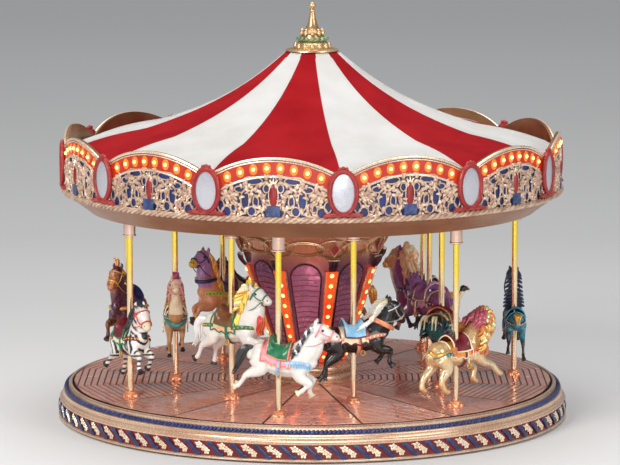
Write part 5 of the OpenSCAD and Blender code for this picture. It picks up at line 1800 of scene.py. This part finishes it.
RIDERS = [
    (
        "white_horse", 40.0, -9, 1.06, "animal_white",
        lambda: (
            horse(
                poll=(22, 25), nose=(35.5, 22.5), chest=18.0, hip=-13.5, girth=9.6, fore=("fold", "tuck"),
                hind=("trail", "trail"), neck_thick=1.1, mane="black",
                tail=[[-17.5, 0, 5.0], [-21.5, -1, 6], [-25.0, -1.5, 1], [-26.5, -1.5, -7], [-29, -1, -14]],
                seat="green", blanket="pink", trim="salmon", strap="sky", bridle="pink", studs="pink",
                fringe="sky", hooves="cream", tip="silver", fall=7.5, breech=False, seed=11, tall=1.1
            ),
            shades("white", face="pink", face_x=40.5, noise=0.02)
        )
    ),
    ("lion", 38.0, 0, 1.06, "animal_gold", lion), ("goat", 42.0, 8, 1.0, "animal_dark", goat),
    (
        "copper_horse", 42.0, 6, 1.1, "animal_copper",
        lambda: (
            horse(
                poll=(22, 26), nose=(33.5, 16), chest=17.0, hip=-16.0, neck_thick=1.25, bushy=True,
                mane="peach", seat="navy", blanket="magenta", trim="gold", strap="navy", bridle="gold",
                fore=("fold", "down"), hind=("push", "under"), fall=9.5, seed=12
            ),
            shades("wine", face="peach", face_x=21, legs="ember", noise=0.25)
        )
    ),
    (
        "bay_horse", 40.0, 0, 1.04, "animal_copper",
        lambda: (
            horse(
                mane="black", seat="maroon", blanket="cream", trim="gold", strap="red", bridle="red",
                seed=13
            ),
            shades("brown", legs="black", noise=0.2)
        )
    ),
    (
        "plum_horse", 42.0, 6, 1.06, "animal_dark",
        lambda: (
            horse(
                poll=(21, 27), nose=(30, 18), chest=17.0, hip=-15.0, mane="plum", tip="gold",
                tail_colour="brown", seat="navy", blanket="salmon", trim="maroon", strap="gold",
                bridle="gold", fore=("tuck", "fold"), hind=("push", "back"), plume="gold", tall=1.5,
                seed=14, tail=[[-19, 0, 5], [-23, 0, 6], [-26, 0, 0], [-26, 0, -9], [-28, 0, -18]]
            ),
            shades("plum", belly="brown", face="copper", face_x=25, rump="violet", noise=0.7)
        )
    ),
    (
        "zebra", 41.0, 8, 1.08, "animal_white",
        lambda: (
            horse(
                poll=(19, 19), nose=(27, 9), chest=15.0, hip=-13.0, girth=8.6, mane="black", seat="maroon",
                blanket="cream", trim="green", strap="maroon", bridle="red", fore=("tuck", "fold"),
                hind=("stretch", "trail"), fall=3.2,
                tail=[[-17, 0, 4], [-22, 0, 4.5], [-25, 0, -1], [-25.5, 0, -8]], seed=15
            ),
            stripes
        )
    ),
    (
        "black_horse", 38.0, 4, 1.06, "animal_dark",
        lambda: (
            horse(
                poll=(28, 20), nose=(35.5, 9.5), chest=18.0, neck_thick=1.05, hip=-17.0, girth=8.8,
                mane="white", tip="cream", sweep=9.0, tail_colour="black", seat="sky", blanket="cream",
                trim="maroon", strap="salmon", bridle="silver", studs="white", collar="salmon",
                fore=("tuck", "fold"), hind=("back", "push"), fall=9.0, seed=16
            ),
            shades("black", noise=0.2)
        )
    ),
    ("ostrich", 36.0, 0, 1.05, "animal_dark", ostrich),
    (
        "grey_horse", 40.0, 0, 1.06, "animal_violet",
        lambda: (
            horse(
                poll=(22, 13), nose=(30, 4), mane="violet", seat="violet", blanket="lilac", trim="wheat",
                strap="purple", bridle="purple", fore=("tuck", "fold"), hind=("back", "push"), tall=1.3,
                seed=17
            ),
            shades("violet", legs="slate", noise=0.25)
        )
    ),
    (
        "cream_horse", 40.0, 0, 1.04, "animal_tan",
        lambda: (
            horse(
                mane="gold", seat="teal", blanket="pink", trim="gold", strap="teal", bridle="teal", seed=18
            ),
            shades("cream", legs="tan", noise=0.06)
        )
    ),
    (
        "lilac_horse", 42.0, 5, 1.06, "animal_violet",
        lambda: (
            horse(
                poll=(20, 28), nose=(31, 23), chest=16.0, hip=-15.0, mane="orange", tip="yellow",
                seat="purple", blanket="salmon", trim="lime", strap="lime", bridle="navy", studs="black",
                collar="navy", fore=("tuck", "reach"), hind=("push", "back"), fall=9.0, seed=19
            ),
            shades("peach", face="lilac", face_x=14, legs="peach", muzzle=("yellow", 28.5), noise=0.06)
        )
    ),
    ("llama", 38.0, 0, 1.0, "animal_tan", llama),
    (
        "plumed_horse", 44.0, 2, 1.08, "animal_white",
        lambda: (
            horse(
                poll=(20, 24), nose=(31, 19.5), chest=17.0, hip=-15.5, neck_thick=1.15, mane="yellow",
                tip="gold", tail_colour="white", bushy=True, seat="brown", blanket="peach", trim="green",
                strap="green", bridle="green", studs="gold", plume="orange", plume_at="chest",
                fore=("reach", "fold"), hind=("trail", "push"), fall=10.5, seed=20
            ),
            shades("white", noise=0.02)
        )
    )
]


def posed(index, height, pitch, size):
    """Change from an animal's own millimetres to the shared frame, with its pitch (nose up) and size."""
    az, r, lift = rider_place(index)
    c, n = math.cos(math.radians(pitch)), math.sin(math.radians(pitch))

    def change(p):
        q = np.asarray(p, float) * size
        q = np.column_stack([q[:, 0] * c - q[:, 2] * n, q[:, 1], q[:, 0] * n + q[:, 2] * c])
        return placed(q, az, r, DECK_TOP + height + lift)

    return change


for index, (rider_name, height, pitch, size, rider_slot, build) in enumerate(RIDERS):
    rider, coat_paint = build()
    change = posed(index, height, pitch, size)
    body_name = rider_name + "_rider"
    skinned(rider_name + "_hide", rider.hide, coat_paint, change, body_name, rider_name, rider_slot)
    for part_name, part, colours in (
        ("_tack", rider.tack, rider.colours), ("_hair", rider.hair, rider.hair_colours),
    ):
        piece(
            rider_name + part_name, part.moved(change), [lacquer(c) for c in colours], body_name,
            slot=rider_slot, sharp=50
        )

# ---------------------------------------------------------------- studio


# Camera at the front, a little above: millimetres of lens, metres of place, degrees from straight down.
LENS, LENS_SHIFT = 194.3, -0.0038
CAMERA_AT, CAMERA_TILT = (0, -2.470, 0.4914), 81.807
# The floor's tone from its near edge (0) to its far edge (1).
FLOOR_NEAR, FLOOR_FAR = -0.3, 4.2
FLOOR_TONES = (
    (0.0, 0.69), (0.05, 0.70), (0.1, 0.64), (0.18, 0.54), (0.27, 0.51), (0.37, 0.55), (0.51, 0.65),
    (0.71, 0.83), (1.0, 0.97)
)


def studio():
    """Pale floor that fades towards the back, four soft lights, dim air and the camera."""
    mesh = bpy.data.meshes.new("floor")
    mesh.from_pydata([(-9, -6, 0), (9, -6, 0), (9, 14, 0), (-9, 14, 0)], [], [(0, 1, 2, 3)])
    floor = bpy.data.objects.new("floor", mesh)
    bpy.context.scene.collection.objects.link(floor)
    mat = bpy.data.materials.new("floor paper")
    mat.use_nodes = True
    t = mat.node_tree
    shader = t.nodes["Principled BSDF"]
    shader.inputs["Roughness"].default_value = 0.9
    shader.inputs["Specular IOR Level"].default_value = 0.1
    where = t.nodes.new("ShaderNodeTexCoord")
    split = t.nodes.new("ShaderNodeSeparateXYZ")
    span = t.nodes.new("ShaderNodeMapRange")
    ramp = t.nodes.new("ShaderNodeValToRGB")
    t.links.new(where.outputs["Object"], split.inputs["Vector"])
    t.links.new(split.outputs["Y"], span.inputs["Value"])
    span.inputs["From Min"].default_value = FLOOR_NEAR
    span.inputs["From Max"].default_value = FLOOR_FAR
    t.links.new(span.outputs["Result"], ramp.inputs["Fac"])
    ramp.color_ramp.elements[0].position = FLOOR_TONES[0][0]
    ramp.color_ramp.elements[1].position = FLOOR_TONES[-1][0]
    for position, _ in FLOOR_TONES[1:-1]:
        ramp.color_ramp.elements.new(position)
    for element, (position, value) in zip(ramp.color_ramp.elements, FLOOR_TONES):
        element.position = position
        element.color = (value, value, value, 1)
    t.links.new(ramp.outputs["Color"], shader.inputs["Base Color"])
    mesh.materials.append(mat)

    def lamp(name, where, target, size, power, colour=(1, 1, 1)):
        data = bpy.data.lights.new(name, "AREA")
        data.shape = "RECTANGLE"
        data.size, data.size_y = size
        data.energy = power
        data.color = colour
        obj = bpy.data.objects.new(name, data)
        bpy.context.scene.collection.objects.link(obj)
        obj.location = where
        direction = np.array(target, float) - np.array(where, float)
        yaw = math.atan2(direction[1], direction[0]) - math.pi / 2
        pitch = math.atan2(direction[2], math.hypot(direction[0], direction[1]))
        obj.rotation_euler = (math.pi / 2 + pitch, 0, yaw)

    lamp("key", (-1.5, -1.9, 1.7), (0, 0, 0.13), (1.1, 1.1), 52, (1.0, 0.97, 0.93))
    lamp("fill", (1.9, -1.7, 1.0), (0, 0, 0.13), (1.2, 1.6), 24)
    lamp("top", (0.0, 0.3, 2.2), (0, 0, 0.1), (1.8, 1.8), 34)
    lamp("front", (0.0, -2.6, 0.25), (0, 0, 0.12), (1.8, 0.5), 15)
    world = bpy.data.worlds.new("studio air")
    world.use_nodes = True
    world.node_tree.nodes["Background"].inputs["Color"].default_value = (0.80, 0.82, 0.85, 1)
    world.node_tree.nodes["Background"].inputs["Strength"].default_value = 0.32
    bpy.context.scene.world = world
    bpy.context.scene.view_settings.view_transform = "Standard"
    cam = bpy.data.cameras.new("camera")
    cam.sensor_width = 36
    cam.lens = LENS
    cam.shift_x = LENS_SHIFT
    cam.clip_end = 40
    seat = bpy.data.objects.new("camera", cam)
    seat.location = CAMERA_AT
    seat.rotation_euler = (math.radians(CAMERA_TILT), 0, 0)
    bpy.context.scene.collection.objects.link(seat)
    bpy.context.scene.camera = seat


studio()
